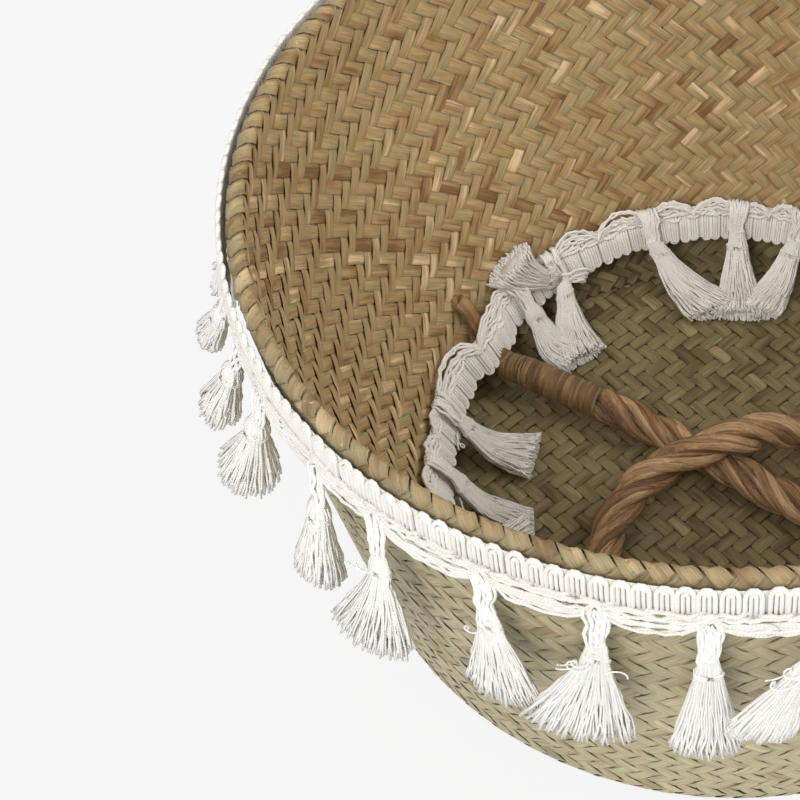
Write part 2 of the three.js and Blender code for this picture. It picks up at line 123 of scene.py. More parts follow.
def smooth_line(points: Array, per_span: int = 24) -> Array:
    """A centripetal Catmull-Rom curve.

    Args:
        points: The points that it passes through, one row each.
        per_span: How many steps lie between two points.

    Returns:
        The points of the curve, one row each.
    """
    first, last = 2 * points[0] - points[1], 2 * points[-1] - points[-2]
    knots = np.vstack([first, points, last])
    share = np.linspace(0, 1, per_span, endpoint=False)[:, None]
    made = []
    for p0, p1, p2, p3 in zip(knots, knots[1:], knots[2:], knots[3:]):
        d0, d1, d2 = (
            max(np.linalg.norm(b - a), 1e-9) ** 0.5 for a, b in ((p0, p1), (p1, p2), (p2, p3))
        )
        leave = d1 * ((p1 - p0) / d0 - (p2 - p0) / (d0 + d1) + (p2 - p1) / d1)
        reach = d1 * ((p2 - p1) / d1 - (p3 - p1) / (d1 + d2) + (p3 - p2) / d2)
        square, cube = share**2, share**3
        made.append(
            p1
            + leave * share
            + (3 * (p2 - p1) - 2 * leave - reach) * square
            + (2 * (p1 - p2) + leave + reach) * cube
        )
    return np.vstack([*made, points[-1:]])


def lengths_along(line: Array) -> Array:
    """The distance from the start of a line to each of its points."""
    steps = np.linalg.norm(np.diff(line, axis=0), axis=1)
    return np.concatenate([[0.0], np.cumsum(steps)])


def point_at(line: Array, distance: Array) -> Array:
    """The points of a line at distances from its start."""
    along = lengths_along(line)
    return np.stack([np.interp(distance, along, line[:, axis]) for axis in range(3)], -1)


def carried_frames(line: Array, first_side: Array) -> tuple[Array, Array]:
    """Sideways directions that turn as little as they can along a line.

    Args:
        line: The points of the line.
        first_side: About where the first side points.

    Returns:
        Two directions across the line for each point.
    """
    tangent = unit(np.gradient(line, axis=0))
    sides = np.empty_like(line)
    side = np.asarray(first_side, float)
    for i, along in enumerate(tangent):
        side = unit(side - along * np.dot(side, along))
        sides[i] = side
    return sides, np.cross(tangent, sides)


def wobble(rng: Rng, count: int, samples: int, waves: float) -> Array:
    """Slow random waves, one row for each of count lines, from -1 to 1."""
    share = np.linspace(0, TAU, samples)[None, :]
    total = np.zeros((count, samples))
    for octave in (1.0, 1.7, 2.9):
        phase = rng.uniform(0, TAU, (count, 1))
        pace = waves * octave * rng.uniform(0.8, 1.2, (count, 1))
        total += np.sin(share * pace + phase) / octave
    return total / WOBBLE_REACH


# Meshes


def placed(name: str, data: bpy.types.ID) -> bpy.types.Object:
    """A new object in the scene."""
    thing = bpy.data.objects.new(name, data)
    bpy.context.scene.collection.objects.link(thing)
    return thing


class Draft:
    """Gathers the vertices, faces and per-vertex values of one piece."""

    VALUES = ("tone", "along", "across", "zone")

    def __init__(self) -> None:
        """Starts with nothing in it."""
        self.points: list[Array] = []
        self.faces: list[Array] = []
        self.values: dict[str, list[Array]] = {name: [] for name in self.VALUES}
        self.count = 0

    def add(self, points: Array, faces: list[Array], **values: Array | float) -> None:
        """Adds vertices, faces and values.

        Args:
            points: The vertices, with the coordinates last.
            faces: Arrays of vertex numbers, one face in each row.
            **values: Numbers that fit the vertices, by name.
        """
        shape = points.shape[:-1]
        self.points.append(points.reshape(-1, 3))
        self.faces += [rows.reshape(-1, rows.shape[-1]) + self.count for rows in faces]
        for name in self.VALUES:
            given = np.broadcast_to(np.asarray(values.get(name, 0.0), float), shape)
            self.values[name].append(given.reshape(-1))
        self.count += points.size // 3

    def ring(self, points: Array, **values: Array | float) -> None:
        """Adds a sheet that closes round its first direction.

        Args:
            points: Rows of vertices, one row for each angle.
            **values: Numbers that fit the vertices, by name.
        """
        near = np.arange(points.size // 3).reshape(points.shape[:2])
        far = np.roll(near, -1, 0)
        quads = np.stack([near[:, :-1], far[:, :-1], far[:, 1:], near[:, 1:]], -1)
        self.add(points, [quads], **values)

    def yarn(
        self, line: Array, radius: Array | float, sides: int, towards: Array, **more: Array | float
    ) -> None:
        """Adds a single tube, with the values that tubes takes.

        Args:
            line: Its middle line.
            radius: Half the width at each sample.
            sides: Points round each section.
            towards: The direction in which it is thin, one or one for each sample.
            **more: The other values, as numbers or for each sample.
        """
        given = {name: np.atleast_2d(value) for name, value in more.items()}
        self.tubes(line[None], np.atleast_2d(radius), sides, towards, **given)

    def ribbons(
        self, centre: Array, normal: Array, half_width: Array, cross: Array, drop: Array,
        tilt: Array | float = 0.0, **values: Array | float
    ) -> None:
        """Adds flat strips that are crowned across their width.

        Args:
            centre: Middle lines, as strips by samples by coordinates.
            normal: Which way each strip faces.
            half_width: Half the width at each sample.
            cross: Places across the strip, from -1 to 1.
            drop: How far each of those places lies below the crown.
            tilt: How far one edge is lifted over the other.
            **values: Numbers for each strip or sample.
        """
        strips, samples = centre.shape[:2]
        tangent = unit(np.gradient(centre, axis=1))
        side = unit(np.cross(tangent, normal))
        up = np.cross(side, tangent)
        width = np.broadcast_to(half_width, (strips, samples))[..., None, None]
        lift = (np.broadcast_to(tilt, (strips, samples))[..., None] * cross - drop)[..., None]
        points = (
            centre[:, :, None] + side[:, :, None] * width * cross[:, None] + up[:, :, None] * lift
        )
        number = np.arange(points.size // 3).reshape(points.shape[:3])
        near, far = number[:, :-1], number[:, 1:]
        quads = np.stack([near[..., :-1], near[..., 1:], far[..., 1:], far[..., :-1]], -1)
        step = np.linalg.norm(np.diff(centre, axis=1), axis=-1)
        along = np.concatenate([np.zeros((strips, 1)), np.cumsum(step, 1)], 1)[..., None]
        given = {name: np.asarray(value)[..., None] for name, value in values.items()}
        self.add(points, [quads], along=along, across=cross, **given)

    def tubes(
        self, centre: Array, radius: Array | float, sides: int, towards: Array,
        flat: Array | float = 1.0, closed: bool = False, turn: Array | float = 0.0,
        ridges: Array | float = 0.0, **values: Array | float
    ) -> None:
        """Adds yarns, strands or other long round pieces.

        Args:
            centre: Middle lines, as tubes by samples by coordinates.
            radius: Half the width at each sample.
            sides: Points round each section.
            towards: The direction in which flat pieces are thin.
            flat: The thickness as a share of the width.
            closed: Whether each line is a ring.
            turn: How far the section has turned at each sample, in radians.
            ridges: The depth of three ridges along the piece, as a share of the radius.
            **values: Numbers for each tube or sample.
        """
        tubes, samples = centre.shape[:2]
        if closed:
            ahead, behind = np.roll(centre, -1, 1), np.roll(centre, 1, 1)
            tangent = unit(ahead - behind)
        else:
            tangent = unit(np.gradient(centre, axis=1))
        side = unit(np.cross(tangent, np.broadcast_to(towards, centre.shape)))
        up = np.cross(tangent, side)
        size = np.broadcast_to(radius, (tubes, samples))[..., None]
        round_ = np.arange(sides) * TAU / sides
        bump = 1 + np.asarray(ridges) * np.abs(
            np.cos(1.5 * (round_ + np.broadcast_to(turn, (tubes, samples))[..., None]))
        )
        thin = np.broadcast_to(flat, (tubes, samples))[..., None]
        wide = (np.cos(round_) * size * bump)[..., None]
        high = (np.sin(round_) * size * thin * bump)[..., None]
        points = centre[:, :, None] + side[:, :, None] * wide + up[:, :, None] * high
        number = np.arange(points.size // 3).reshape(points.shape[:3])
        near = number if closed else number[:, :-1]
        far = np.roll(number, -1, 1) if closed else number[:, 1:]
        quads = np.stack([near, np.roll(near, -1, 2), np.roll(far, -1, 2), far], -1)
        faces = [quads]
        if not closed:
            faces += [number[:, 0, ::-1], number[:, -1]]
        step = np.linalg.norm(np.diff(centre, axis=1), axis=-1)
        along = np.concatenate([np.zeros((tubes, 1)), np.cumsum(step, 1)], 1)[..., None]
        given = {name: np.asarray(value)[..., None] for name, value in values.items()}
        given.setdefault("zone", np.sin(round_))
        self.add(points, faces, along=along, across=np.cos(round_), **given)

    def make(
        self, name: str, material: Material, body: Body | None, slot: Slot,
        stands_for: tuple[str, ...] = ()
    ) -> bpy.types.Object:
        """Makes the piece and ties it to its body.

        Args:
            name: The name of the piece.
            material: What it is made of.
            body: The body that it moves with, or None for a piece that spans two and is tied to
                neither.
            slot: The finish meant for the piece; it is not used.
            stands_for: The plain solids that it takes the place of.

        Returns:
            The finished piece.
        """
        mesh = bpy.data.meshes.new(name)
        points = np.concatenate(self.points).astype(np.float32)
        loops = np.concatenate([rows.reshape(-1) for rows in self.faces]).astype(np.int32)
        totals = np.concatenate([np.full(len(rows), rows.shape[1]) for rows in self.faces])
        mesh.vertices.add(len(points))
        mesh.vertices.foreach_set("co", points.reshape(-1))
        mesh.loops.add(len(loops))
        mesh.loops.foreach_set("vertex_index", loops)
        mesh.polygons.add(len(totals))
        starts = np.concatenate([[0], np.cumsum(totals)[:-1]]).astype(np.int32)
        mesh.polygons.foreach_set("loop_start", starts)
        mesh.polygons.foreach_set("use_smooth", np.ones(len(totals), bool))
        for key, parts in self.values.items():
            layer = mesh.attributes.new(key, "FLOAT", "POINT")
            layer.data.foreach_set("value", np.concatenate(parts).astype(np.float32))
        mesh.update(calc_edges=True)
        mesh.validate()
        mesh.materials.append(material)
        piece = placed(name, mesh)
        if body:
            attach(piece, body.value)
        if stands_for:
            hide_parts(*stands_for)
        log.info("%s: %d faces", name, len(totals))
        return piece


# Materials


class Shade:
    """A socket of a material, with arithmetic on it."""

    def __init__(self, paint: "Paint", socket: bpy.types.NodeSocket) -> None:
        """Wraps a socket of a paint's nodes."""
        self.paint = paint
        self.socket = socket

    def _math(self, operation: str, first: "Shade | float", second: "Shade | float") -> "Shade":
        """A Math node on two values."""
        return self.paint.add("ShaderNodeMath", {"operation": operation}, {0: first, 1: second})

    def __add__(self, other: "Shade | float") -> "Shade":
        """This plus a value."""
        return self._math("ADD", self, other)

    __radd__ = __add__

    def __sub__(self, other: "Shade | float") -> "Shade":
        """This less a value."""
        return self._math("SUBTRACT", self, other)

    def __rsub__(self, other: float) -> "Shade":
        """A value less this."""
        return self._math("SUBTRACT", other, self)

    def __mul__(self, other: "Shade | float") -> "Shade":
        """This times a value."""
        return self._math("MULTIPLY", self, other)

    __rmul__ = __mul__

    def clamped(self) -> "Shade":
        """This, kept from 0 to 1."""
        return self.paint.add(
            "ShaderNodeMath", {"operation": "ADD", "use_clamp": True}, {0: self, 1: 0.0}
        )

    def wave(self) -> "Shade":
        """The sine of this."""
        return self._math("SINE", self, 0.0)


Colour = tuple[float, float, float]


class Paint:
    """The nodes of one material or of the world."""

    def __init__(self, owner: Material | bpy.types.World) -> None:
        """Empties the nodes of a material or world."""
        owner.use_nodes = True
        self.owner = owner
        self.tree = owner.node_tree
        self.tree.nodes.clear()

    @classmethod
    def named(cls, name: str) -> "Paint":
        """The nodes of a new material."""
        return cls(bpy.data.materials.new(name))

    def add(
        self, kind: str, settings: dict[str, object] | None = None,
        inputs: dict[str | int, object] | None = None, output: str | int = 0
    ) -> Shade:
        """Adds a node.

        Args:
            kind: The node's type.
            settings: Its own settings; the stops of a ramp are pairs of place and colour.
            inputs: Values or links for its sockets, by name or number.
            output: Which output is given back.

        Returns:
            The chosen output.
        """
        node = self.tree.nodes.new(kind)
        for name, value in (settings or {}).items():
            if name == "stops":
                for i, (place, colour) in enumerate(value):
                    ramp = node.color_ramp.elements
                    stop = ramp[i] if i < 2 else ramp.new(place)
                    stop.position = place
                    stop.color = (*colour, 1.0)
            else:
                setattr(node, name, value)
        for name, value in (inputs or {}).items():
            socket = node.inputs[name]
            if isinstance(value, Shade):
                self.tree.links.new(value.socket, socket)
            else:
                socket.default_value = value
        return Shade(self, node.outputs[output])

    def end(self, kind: str, shader: Shade) -> None:
        """Ends the nodes in a surface."""
        self.tree.links.new(shader.socket, self.tree.nodes.new(kind).inputs["Surface"])

    def value(self, name: str) -> Shade:
        """A number that the mesh carries."""
        return self.add("ShaderNodeAttribute", {"attribute_name": name}, output="Fac")

    def vector(self, x: Shade | float, y: Shade | float, z: Shade | float) -> Shade:
        """Three values as one vector."""
        return self.add("ShaderNodeCombineXYZ", inputs={0: x, 1: y, 2: z})

    def noise(self, where: Shade, scale: float = 1.0, detail: float = 2.0) -> Shade:
        """Cloudy values from 0 to 1."""
        return self.add(
            "ShaderNodeTexNoise", inputs={"Vector": where, "Scale": scale, "Detail": detail}
        )

    def place(self) -> Shade:
        """The place on the object, in metres."""
        return self.add("ShaderNodeTexCoord", output="Object")

    def ramp(self, value: Shade, stops: tuple[tuple[float, Colour], ...]) -> Shade:
        """A colour for each value."""
        return self.add("ShaderNodeValToRGB", {"stops": stops}, {"Fac": value})

    def between(self, share: Shade | float, first: Shade, second: Shade | Colour) -> Shade:
        """A colour between two colours."""
        return self._mix("MIX", share, first, second)

    def times(self, first: Shade, second: Shade | Colour) -> Shade:
        """A colour that is darkened or tinted by another."""
        return self._mix("MULTIPLY", 1.0, first, second)

    def _mix(self, how: str, share: Shade | float, first: Shade, second: Shade | Colour) -> Shade:
        """A Mix node on colours."""
        colours = [c if isinstance(c, Shade) else (*c, 1.0) for c in (first, second)]
        settings = {"data_type": "RGBA", "blend_type": how, "clamp_factor": True}
        return self.add("ShaderNodeMix", settings, {0: share, 6: colours[0], 7: colours[1]}, 2)

    def grey(self, value: Shade) -> Shade:
        """A value as a grey colour."""
        return self.add("ShaderNodeCombineColor", inputs={0: value, 1: value, 2: value})

    def surface(
        self, colour: Shade, roughness: Shade | float, height: Shade, depth: float, sheen: float,
        specular: float
    ) -> Material:
        """Ends the material in a surface.

        Args:
            colour: The base colour.
            roughness: How matt it is.
            height: The relief, from 0 to 1.
            depth: How deep that relief is, in metres.
            sheen: The soft light of fine fibres.
            specular: The strength of plain reflections.

        Returns:
            The material.
        """
        bump = self.add(
            "ShaderNodeBump", inputs={"Height": height, "Distance": depth, "Strength": 1.0}
        )
        shader = self.add(
            "ShaderNodeBsdfPrincipled",
            inputs={
                "Base Color": colour, "Roughness": roughness, "Normal": bump,
                "Sheen Weight": sheen, "Specular IOR Level": specular
            },
        )
        self.end("ShaderNodeOutputMaterial", shader)
        return self.owner


@dataclass(frozen=True)
class SeagrassFinish:
    """Flat dry strips, each with its own colour, with fibres along them.

    The strips carry a zone that chooses between the colours: -1 on the base, 0 on the outside and
    1 on the inside.
    """

    outside: tuple[tuple[float, Colour], ...] = (
        (0.0, (0.310, 0.245, 0.130)), (0.3, (0.430, 0.365, 0.215)), (0.62, (0.480, 0.420, 0.255)),
        (0.86, (0.420, 0.395, 0.225)), (1.0, (0.580, 0.485, 0.300))
    )
    inside: tuple[tuple[float, Colour], ...] = (
        (0.0, (0.230, 0.125, 0.046)), (0.25, (0.370, 0.240, 0.105)), (0.5, (0.460, 0.315, 0.147)),
        (0.7, (0.375, 0.300, 0.145)), (0.85, (0.550, 0.370, 0.185)), (1.0, (0.740, 0.545, 0.315))
    )
    base: tuple[tuple[float, Colour], ...] = (
        (0.0, (0.105, 0.070, 0.028)), (0.35, (0.180, 0.136, 0.060)), (0.65, (0.240, 0.190, 0.089)),
        (0.85, (0.195, 0.170, 0.076)), (1.0, (0.340, 0.265, 0.140))
    )
    fibre_length: float = 0.009
    fibres_across: float = 7.0
    stain_size: float = 0.012
    depth: float = 0.00022

    def make(self, name: str) -> Material:
        """Makes the material."""
        paint = Paint.named(name)
        tone, along, across = (paint.value(key) for key in ("tone", "along", "across"))
        lengths = along * (1 / self.fibre_length)
        grain = paint.vector(lengths, across * self.fibres_across, tone * 97.0)
        fibres = paint.noise(grain, detail=3.0)
        streak = paint.noise(paint.vector(along * 28.0, across * 0.8, tone * 61.0))
        stain = paint.noise(paint.place(), 1 / self.stain_size, 3.0)
        own = (tone * 0.9 + 0.05 + (streak - 0.5) * 1.6 + (stain - 0.5) * 0.7).clamped()
        zone = paint.value("zone")
        strip = paint.between(
            zone.clamped(), paint.ramp(own, self.outside), paint.ramp(own, self.inside)
        )
        strip = paint.between((zone * -1.0).clamped(), strip, paint.ramp(own, self.base))
        at_fold = (zone * (1.0 - zone) * 4.0).clamped()
        lines = paint.grey((fibres * 1.25 + 0.36) * (1.0 - at_fold * 0.26))
        # Painted shade: each strip is darker towards its edges, where it dips beside its
        # neighbours.
        edge_shade = paint.grey(1.0 - (across * across) * (across * across) * 0.22)
        colour = paint.times(paint.times(strip, lines), edge_shade)
        return paint.surface(colour, 0.72 - fibres * 0.3, fibres, self.depth, 0.05, 0.35)


@dataclass(frozen=True)
class ShadowFinish:
    """Painted shade for the gaps of the plait: a dark, speckled brown."""

    dark: Colour = (0.040, 0.028, 0.014)
    brown: Colour = (0.110, 0.080, 0.042)

    def make(self, name: str) -> Material:
        """Makes the material."""
        paint = Paint.named(name)
        spots = paint.noise(paint.place(), 700.0, 3.0)
        colour = paint.ramp(spots, ((0.3, self.dark), (0.8, self.brown)))
        return paint.surface(colour, 0.95, spots, 0.0002, 0.0, 0.1)


@dataclass(frozen=True)
class CottonFinish:
    """Soft spun yarn, nearly white, with a twist and loose fibres."""

    white: Colour = (0.868, 0.848, 0.804)
    cream: Colour = (0.768, 0.722, 0.648)
    twist: float = 0.0011
    depth: float = 0.00012

    def make(self, name: str) -> Material:
        """Makes the material."""
        paint = Paint.named(name)
        tone, along, across = (paint.value(key) for key in ("tone", "along", "across"))
        fuzz = paint.noise(paint.place(), 2600.0, 3.0)
        twist = along * (TAU / self.twist) + tone * 90.0
        plies = (twist + across * 1.6 + fuzz * 2.0).wave() * 0.5 + 0.5
        soft = paint.noise(paint.place(), 90.0, 2.0)
        colour = paint.ramp(
            (tone * 0.7 + soft * 0.5).clamped(), ((0.2, self.white), (1.0, self.cream))
        )
        # Painted shade: the grooves between the plies are a little darker.
        colour = paint.times(colour, paint.grey(plies * 0.10 + 0.92))
        height = plies * 0.7 + fuzz * 0.3
        return paint.surface(colour, 0.92, height, self.depth, 0.25, 0.2)


@dataclass(frozen=True)
class FibreRopeFinish:
    """Strands of twisted grass, brown, with long shiny fibres."""

    colours: tuple[tuple[float, Colour], ...] = (
        (0.0, (0.105, 0.050, 0.020)), (0.35, (0.240, 0.130, 0.055)), (0.65, (0.380, 0.228, 0.105)),
        (1.0, (0.600, 0.420, 0.240))
    )
    fibre_length: float = 0.02
    fibres_round: float = 6.0
    leaves_round: float = 1.8
    depth: float = 0.0006

    def make(self, name: str) -> Material:
        """Makes the material."""
        paint = Paint.named(name)
        tone, along = paint.value("tone"), paint.value("along")
        round_x, round_y = paint.value("across"), paint.value("zone")
        lengths = along * (1 / self.fibre_length)
        fine, coarse = self.fibres_round, self.leaves_round
        grain = paint.vector(lengths + tone * 43.0, round_x * fine, round_y * fine)
        fibres = paint.noise(grain, detail=4.0)
        broad = paint.vector(lengths * 0.4 + tone * 17.0, round_x * coarse, round_y * coarse)
        leaves = paint.noise(broad)
        own = (leaves * 1.0 - 0.02 + (fibres - 0.5) * 1.1 + (tone - 0.5) * 0.9).clamped()
        colour = paint.ramp(own, self.colours)
        return paint.surface(
            colour, 0.62 - fibres * 0.25, fibres * 0.6 + leaves * 0.4, self.depth, 0.05, 0.4
        )


# The basket's form


@dataclass(frozen=True)
class BasketForm:
    """The sizes of the basket's body and the places on its faces."""

    fold_radius: float = 0.160
    height: float = 0.181
    thickness: float = 0.003
    fold_bend: float = 0.004
    foot_radius: float = 0.137
    corner_radius: float = 0.020
    belly_curve: float = 1.15
    rim_radius: float = 0.112
    rim_height: float = 0.016
    funnel_curve: float = 1.8
    oval_x: float = 0.925
    oval_y: float = 1.075
    oval_curve: float = 3.0
    gap: float = 0.00035
    facet_dip: float = 0.00055
    trim_width: float = 0.016
    left_legs: tuple[float, float] = (152, 239)
    right_legs: tuple[float, float] = (332, 59)
    hinge_inset: float = 0.017
    hinge_height: float = 0.014
    rope_radius: float = 0.0068

    @property
    def fold_z(self) -> float:
        """The height of the middle of the fold's bend."""
        return self.height - self.fold_bend

    @property
    def fold_r(self) -> float:
        """The radius of the middle of the fold's bend."""
        return self.fold_radius - self.fold_bend

    def wall_radius(self, z: Array | float) -> Array:
        """The outside radius at a height."""
        down = np.clip((self.fold_z - z) / (self.fold_z - self.corner_radius), 0, None)
        return self.fold_radius - (self.fold_radius - self.foot_radius) * down**self.belly_curve

    def funnel_share(self, z: Array | float) -> Array:
        """How far down the folded-in part a height is, from 0 to 1."""
        return np.clip((self.fold_z - z) / (self.fold_z - self.rim_height), 0, 1)

    def funnel_radius(self, z: Array | float) -> Array:
        """The radius of the middle of the folded-in part at a height."""
        top = self.fold_r - self.fold_bend + self.thickness / 2
        return top + (self.rim_radius - top) * self.funnel_share(z) ** self.funnel_curve

    def funnel_face(self, z: float) -> float:
        """The radius of the inside face at a height."""
        half = self.thickness / 2 * math.hypot(1, slope_at(self.funnel_radius, z))
        return float(self.funnel_radius(z)) - half - self.facet_dip

    def oval_point(self, angle: Array, r: Array, z: Array, share: Array | float) -> Array:
        """A place by angle, radius and height, with a share of the rim's oval."""
        x = r * np.cos(angle) * (1 + (self.oval_x - 1) * share)
        y = r * np.sin(angle) * (1 + (self.oval_y - 1) * share)
        return np.stack(np.broadcast_arrays(x, y, z), -1)

    def funnel_point(self, angle: Array, r: Array, z: Array) -> Array:
        """A place on the folded-in part by angle, radius and height."""
        return self.oval_point(angle, r, z, self.funnel_share(z) ** self.oval_curve)

    def hinge(self, degrees: float) -> Array:
        """The point about which a leg of a handle turns."""
        r = self.rim_radius - self.hinge_inset
        return self.funnel_point(math.radians(degrees), r, self.hinge_height)


@dataclass
class Meridian:
    """The middle line of the plait from the foot, over the fold and down to the rim."""

    form: BasketForm
    steps: int = 500

    def __post_init__(self) -> None:
        """Lays out the line and measures it."""
        form = self.form
        half = form.thickness / 2
        foot = form.foot_radius - form.corner_radius
        bend = np.linspace(-math.pi / 2, 0, self.steps // 8, endpoint=False)
        tucked = form.corner_radius - half * (1 - np.linspace(-0.6, 0, len(bend)))
        over = np.linspace(0, math.pi, self.steps // 8)[1:-1]
        up = np.linspace(form.corner_radius, form.fold_z, self.steps)
        down = np.linspace(form.fold_z, form.rim_height, self.steps)
        start_r = np.linspace(foot - 0.006, foot, 8, endpoint=False)
        inner = form.fold_bend - half
        stretches = (
            (start_r, np.full(8, form.corner_radius - tucked[0])),
            (foot + tucked * np.cos(bend), form.corner_radius + tucked * np.sin(bend)),
            (form.wall_radius(up) - half, up),
            (form.fold_r + inner * np.cos(over), form.fold_z + inner * np.sin(over)),
            (form.funnel_radius(down), down),
        )
        self.r, self.z = (np.concatenate(parts) for parts in zip(*stretches))
        steps = np.hypot(np.diff(self.r), np.diff(self.z))
        mean_r = (self.r[1:] + self.r[:-1]) / 2
        self.turn = np.concatenate([[0.0], np.cumsum(steps / mean_r)])
        slope = unit(np.stack([np.gradient(self.r), np.gradient(self.z)], -1))
        self.normal = np.stack([slope[:, 1], -slope[:, 0]], -1)
        self.fold_turn = float(self.turn[int(np.argmax(self.z))])

    def at(self, turn: Array) -> tuple[Array, Array, Array, Array]:
        """The radius, height and normal where a strip has turned so far."""
        parts = (self.r, self.z, self.normal[:, 0], self.normal[:, 1])
        return tuple(np.interp(turn, self.turn, part) for part in parts)

    def oval(self, turn: Array, z: Array) -> Array:
        """How much of the rim's oval a place has: none outside, all of it at the rim."""
        share = self.form.funnel_share(z) ** self.form.oval_curve
        return np.where(turn > self.fold_turn, share, 0.0)


# The plait


@dataclass
class Plait:
    """Two sets of strips, each over two and under two of the other."""

    form: BasketForm
    strips: int = 124
    rise: float = 0.00056
    crown: float = 0.00018
    samples_per_crossing: float = 2.2
    cross: tuple[float, ...] = (-1.0, -0.55, 0.55, 1.0)
    base_overlap: float = 0.0022
    outer_rise: float = 0.66
    fold_fill: float = 0.03
    fold_zone: float = 0.07
    shade_sheet_depth: float = 0.0009
    seed: int = 7

    def height_at(self, crossing: Array) -> Array:
        """How high a strip lies at a count of crossings, from -1 to 1."""
        wave = np.cos(TAU * (crossing - 0.5) / 4)
        return np.tanh(2.2 * wave) / math.tanh(2.2)

    def crown_drop(self) -> tuple[Array, Array]:
        """The places across a strip and how far each lies below its crown."""
        cross = np.array(self.cross)
        return cross, self.crown * np.abs(cross) ** 2.5

    def wall_strips(self, meridian: Meridian, side: int) -> Draft:
        """The strips that lean one way round the wall, the fold and the folded-in part.

        Args:
            meridian: The middle line of the plait.
            side: 1 for strips that lean to the left on the outside, -1 for the others.

        Returns:
            The strips.
        """
        rng = np.random.default_rng(self.seed + side)
        row = math.pi / self.strips
        total = meridian.turn[-1]
        turn = np.arange(0, total, row / self.samples_per_crossing)
        r, z, normal_r, normal_z = meridian.at(turn)
        share = meridian.oval(turn, z)
        samples = len(turn)
        start = np.arange(self.strips) * TAU / self.strips
        angle = start[:, None] + side * turn[None, :]
        angle = angle + 0.0016 * wobble(rng, self.strips, samples, 9.0)
        centre = self.form.oval_point(angle, r, z, share)
        normal = self.form.oval_point(angle, normal_r, normal_z, 0.0)
        lift = self.height_at(turn / row + (0 if side > 0 else 2)) * self.rise
        past_fold = (turn - meridian.fold_turn) / self.fold_zone
        inside = np.clip(past_fold + 0.72, 0, 1)
        under = np.clip(1.6 - (z - self.form.thickness) / 0.007, 0, 1)
        lift = lift * (self.outer_rise + (1 - self.outer_rise) * inside)
        lift = lift[None, :] * (1 + 0.25 * wobble(rng, self.strips, samples, 30.0))
        centre = centre + normal * lift[..., None]
        pitch = TAU * r / self.strips * math.sqrt(0.5)
        thick = 1 + rng.uniform(-0.10, 0.03, (self.strips, 1))
        fuller = 1 + self.fold_fill * np.exp(-(past_fold**2))
        half = pitch / 2 * fuller * thick
        half = half * (1 + 0.05 * wobble(rng, self.strips, samples, 25.0))
        cross, drop = self.crown_drop()
        draft = Draft()
        draft.ribbons(
            centre, normal, half, cross, drop,
            tilt=0.00018 * wobble(rng, self.strips, samples, 45.0),
            tone=self.tones(rng, self.strips),
            zone=np.broadcast_to(inside - under * (turn < meridian.fold_turn), angle.shape)
        )
        return draft

    def tones(self, rng: Rng, count: int) -> Array:
        """A colour place for each strip: most near the middle, a few pale or dark."""
        return np.clip(rng.normal(0.48, 0.2, (count, 1)), 0.02, 0.98)

    def base_strips(self) -> Draft:
        """The square plait of the base, which shows inside and underneath."""
        rng = np.random.default_rng(self.seed + 5)
        reach = self.form.foot_radius - self.form.corner_radius + self.base_overlap
        pitch = TAU * self.form.foot_radius / self.strips * math.sqrt(0.5)
        count = int(2 * reach / pitch)
        cross, drop = self.crown_drop()
        draft = Draft()
        for which in (0, 1):
            towards, across = ways((1 - 2 * which) * math.pi / 4)
            for i in range(count):
                offset = (i - (count - 1) / 2) * pitch
                half_chord = math.sqrt(max(reach**2 - offset**2, 1e-6))
                samples = max(int(2 * half_chord / pitch * self.samples_per_crossing), 4)
                run = np.linspace(-half_chord, half_chord, samples)
                crossing = run / pitch + (count - 1) / 2
                over = 1 if which == 0 else -1
                phase = i + crossing if which == 0 else i + count - 1 - crossing
                z = self.form.thickness / 2 + over * self.height_at(phase) * self.rise
                drift = 0.0002 * wobble(rng, 1, samples, 6.0)[0]
                centre = run[:, None] * towards + (offset + drift)[:, None] * across
                centre[:, 2] = z
                draft.ribbons(
                    centre[None], UP, pitch / 2 * (1 + rng.uniform(-0.08, 0.02)), cross, drop,
                    tone=self.tones(rng, 1), zone=np.full((1, samples), -1.0)
                )
        return draft

    def shade_sheet(self, meridian: Meridian) -> Draft:
        """A dark sheet of painted shade, seen in the gaps just under the strips."""
        angle = np.linspace(0, TAU, 120, endpoint=False)
        turn = np.linspace(0, meridian.turn[-1], 100)
        r, z, normal_r, normal_z = meridian.at(turn)
        share = meridian.oval(turn, z)
        low = (turn < meridian.fold_turn) * np.clip((0.030 - z) / 0.010, 0, 1)
        depth = self.shade_sheet_depth * (1 - low)
        r, z = r - normal_r * depth, z - normal_z * depth
        draft = Draft()
        draft.ring(self.form.oval_point(angle[:, None], r, z, share))
        foot = self.form.foot_radius - self.form.corner_radius
        disc = self.form.oval_point(angle, foot, self.form.thickness / 2, 0.0)
        draft.add(disc, [np.arange(len(disc))[None]])
        return draft

    def build(self, meridian: Meridian) -> None:
        """Makes the plaited body."""
        seagrass = SeagrassFinish().make("seagrass")
        shadow = ShadowFinish().make("plait_gap_shade")
        body = ("woven_body",)
        basket, slot = Body.BASKET, Slot.SEAGRASS
        self.wall_strips(meridian, 1).make("plait_strips_left", seagrass, basket, slot, body)
        self.wall_strips(meridian, -1).make("plait_strips_right", seagrass, basket, slot, body)
        self.base_strips().make("base_plait", seagrass, basket, slot, body)
        # The dark sheet under the strips is painted shade, seen through the gaps.
        self.shade_sheet(meridian).make("plait_shade_sheet", shadow, basket, slot, body)


# Tassel trims


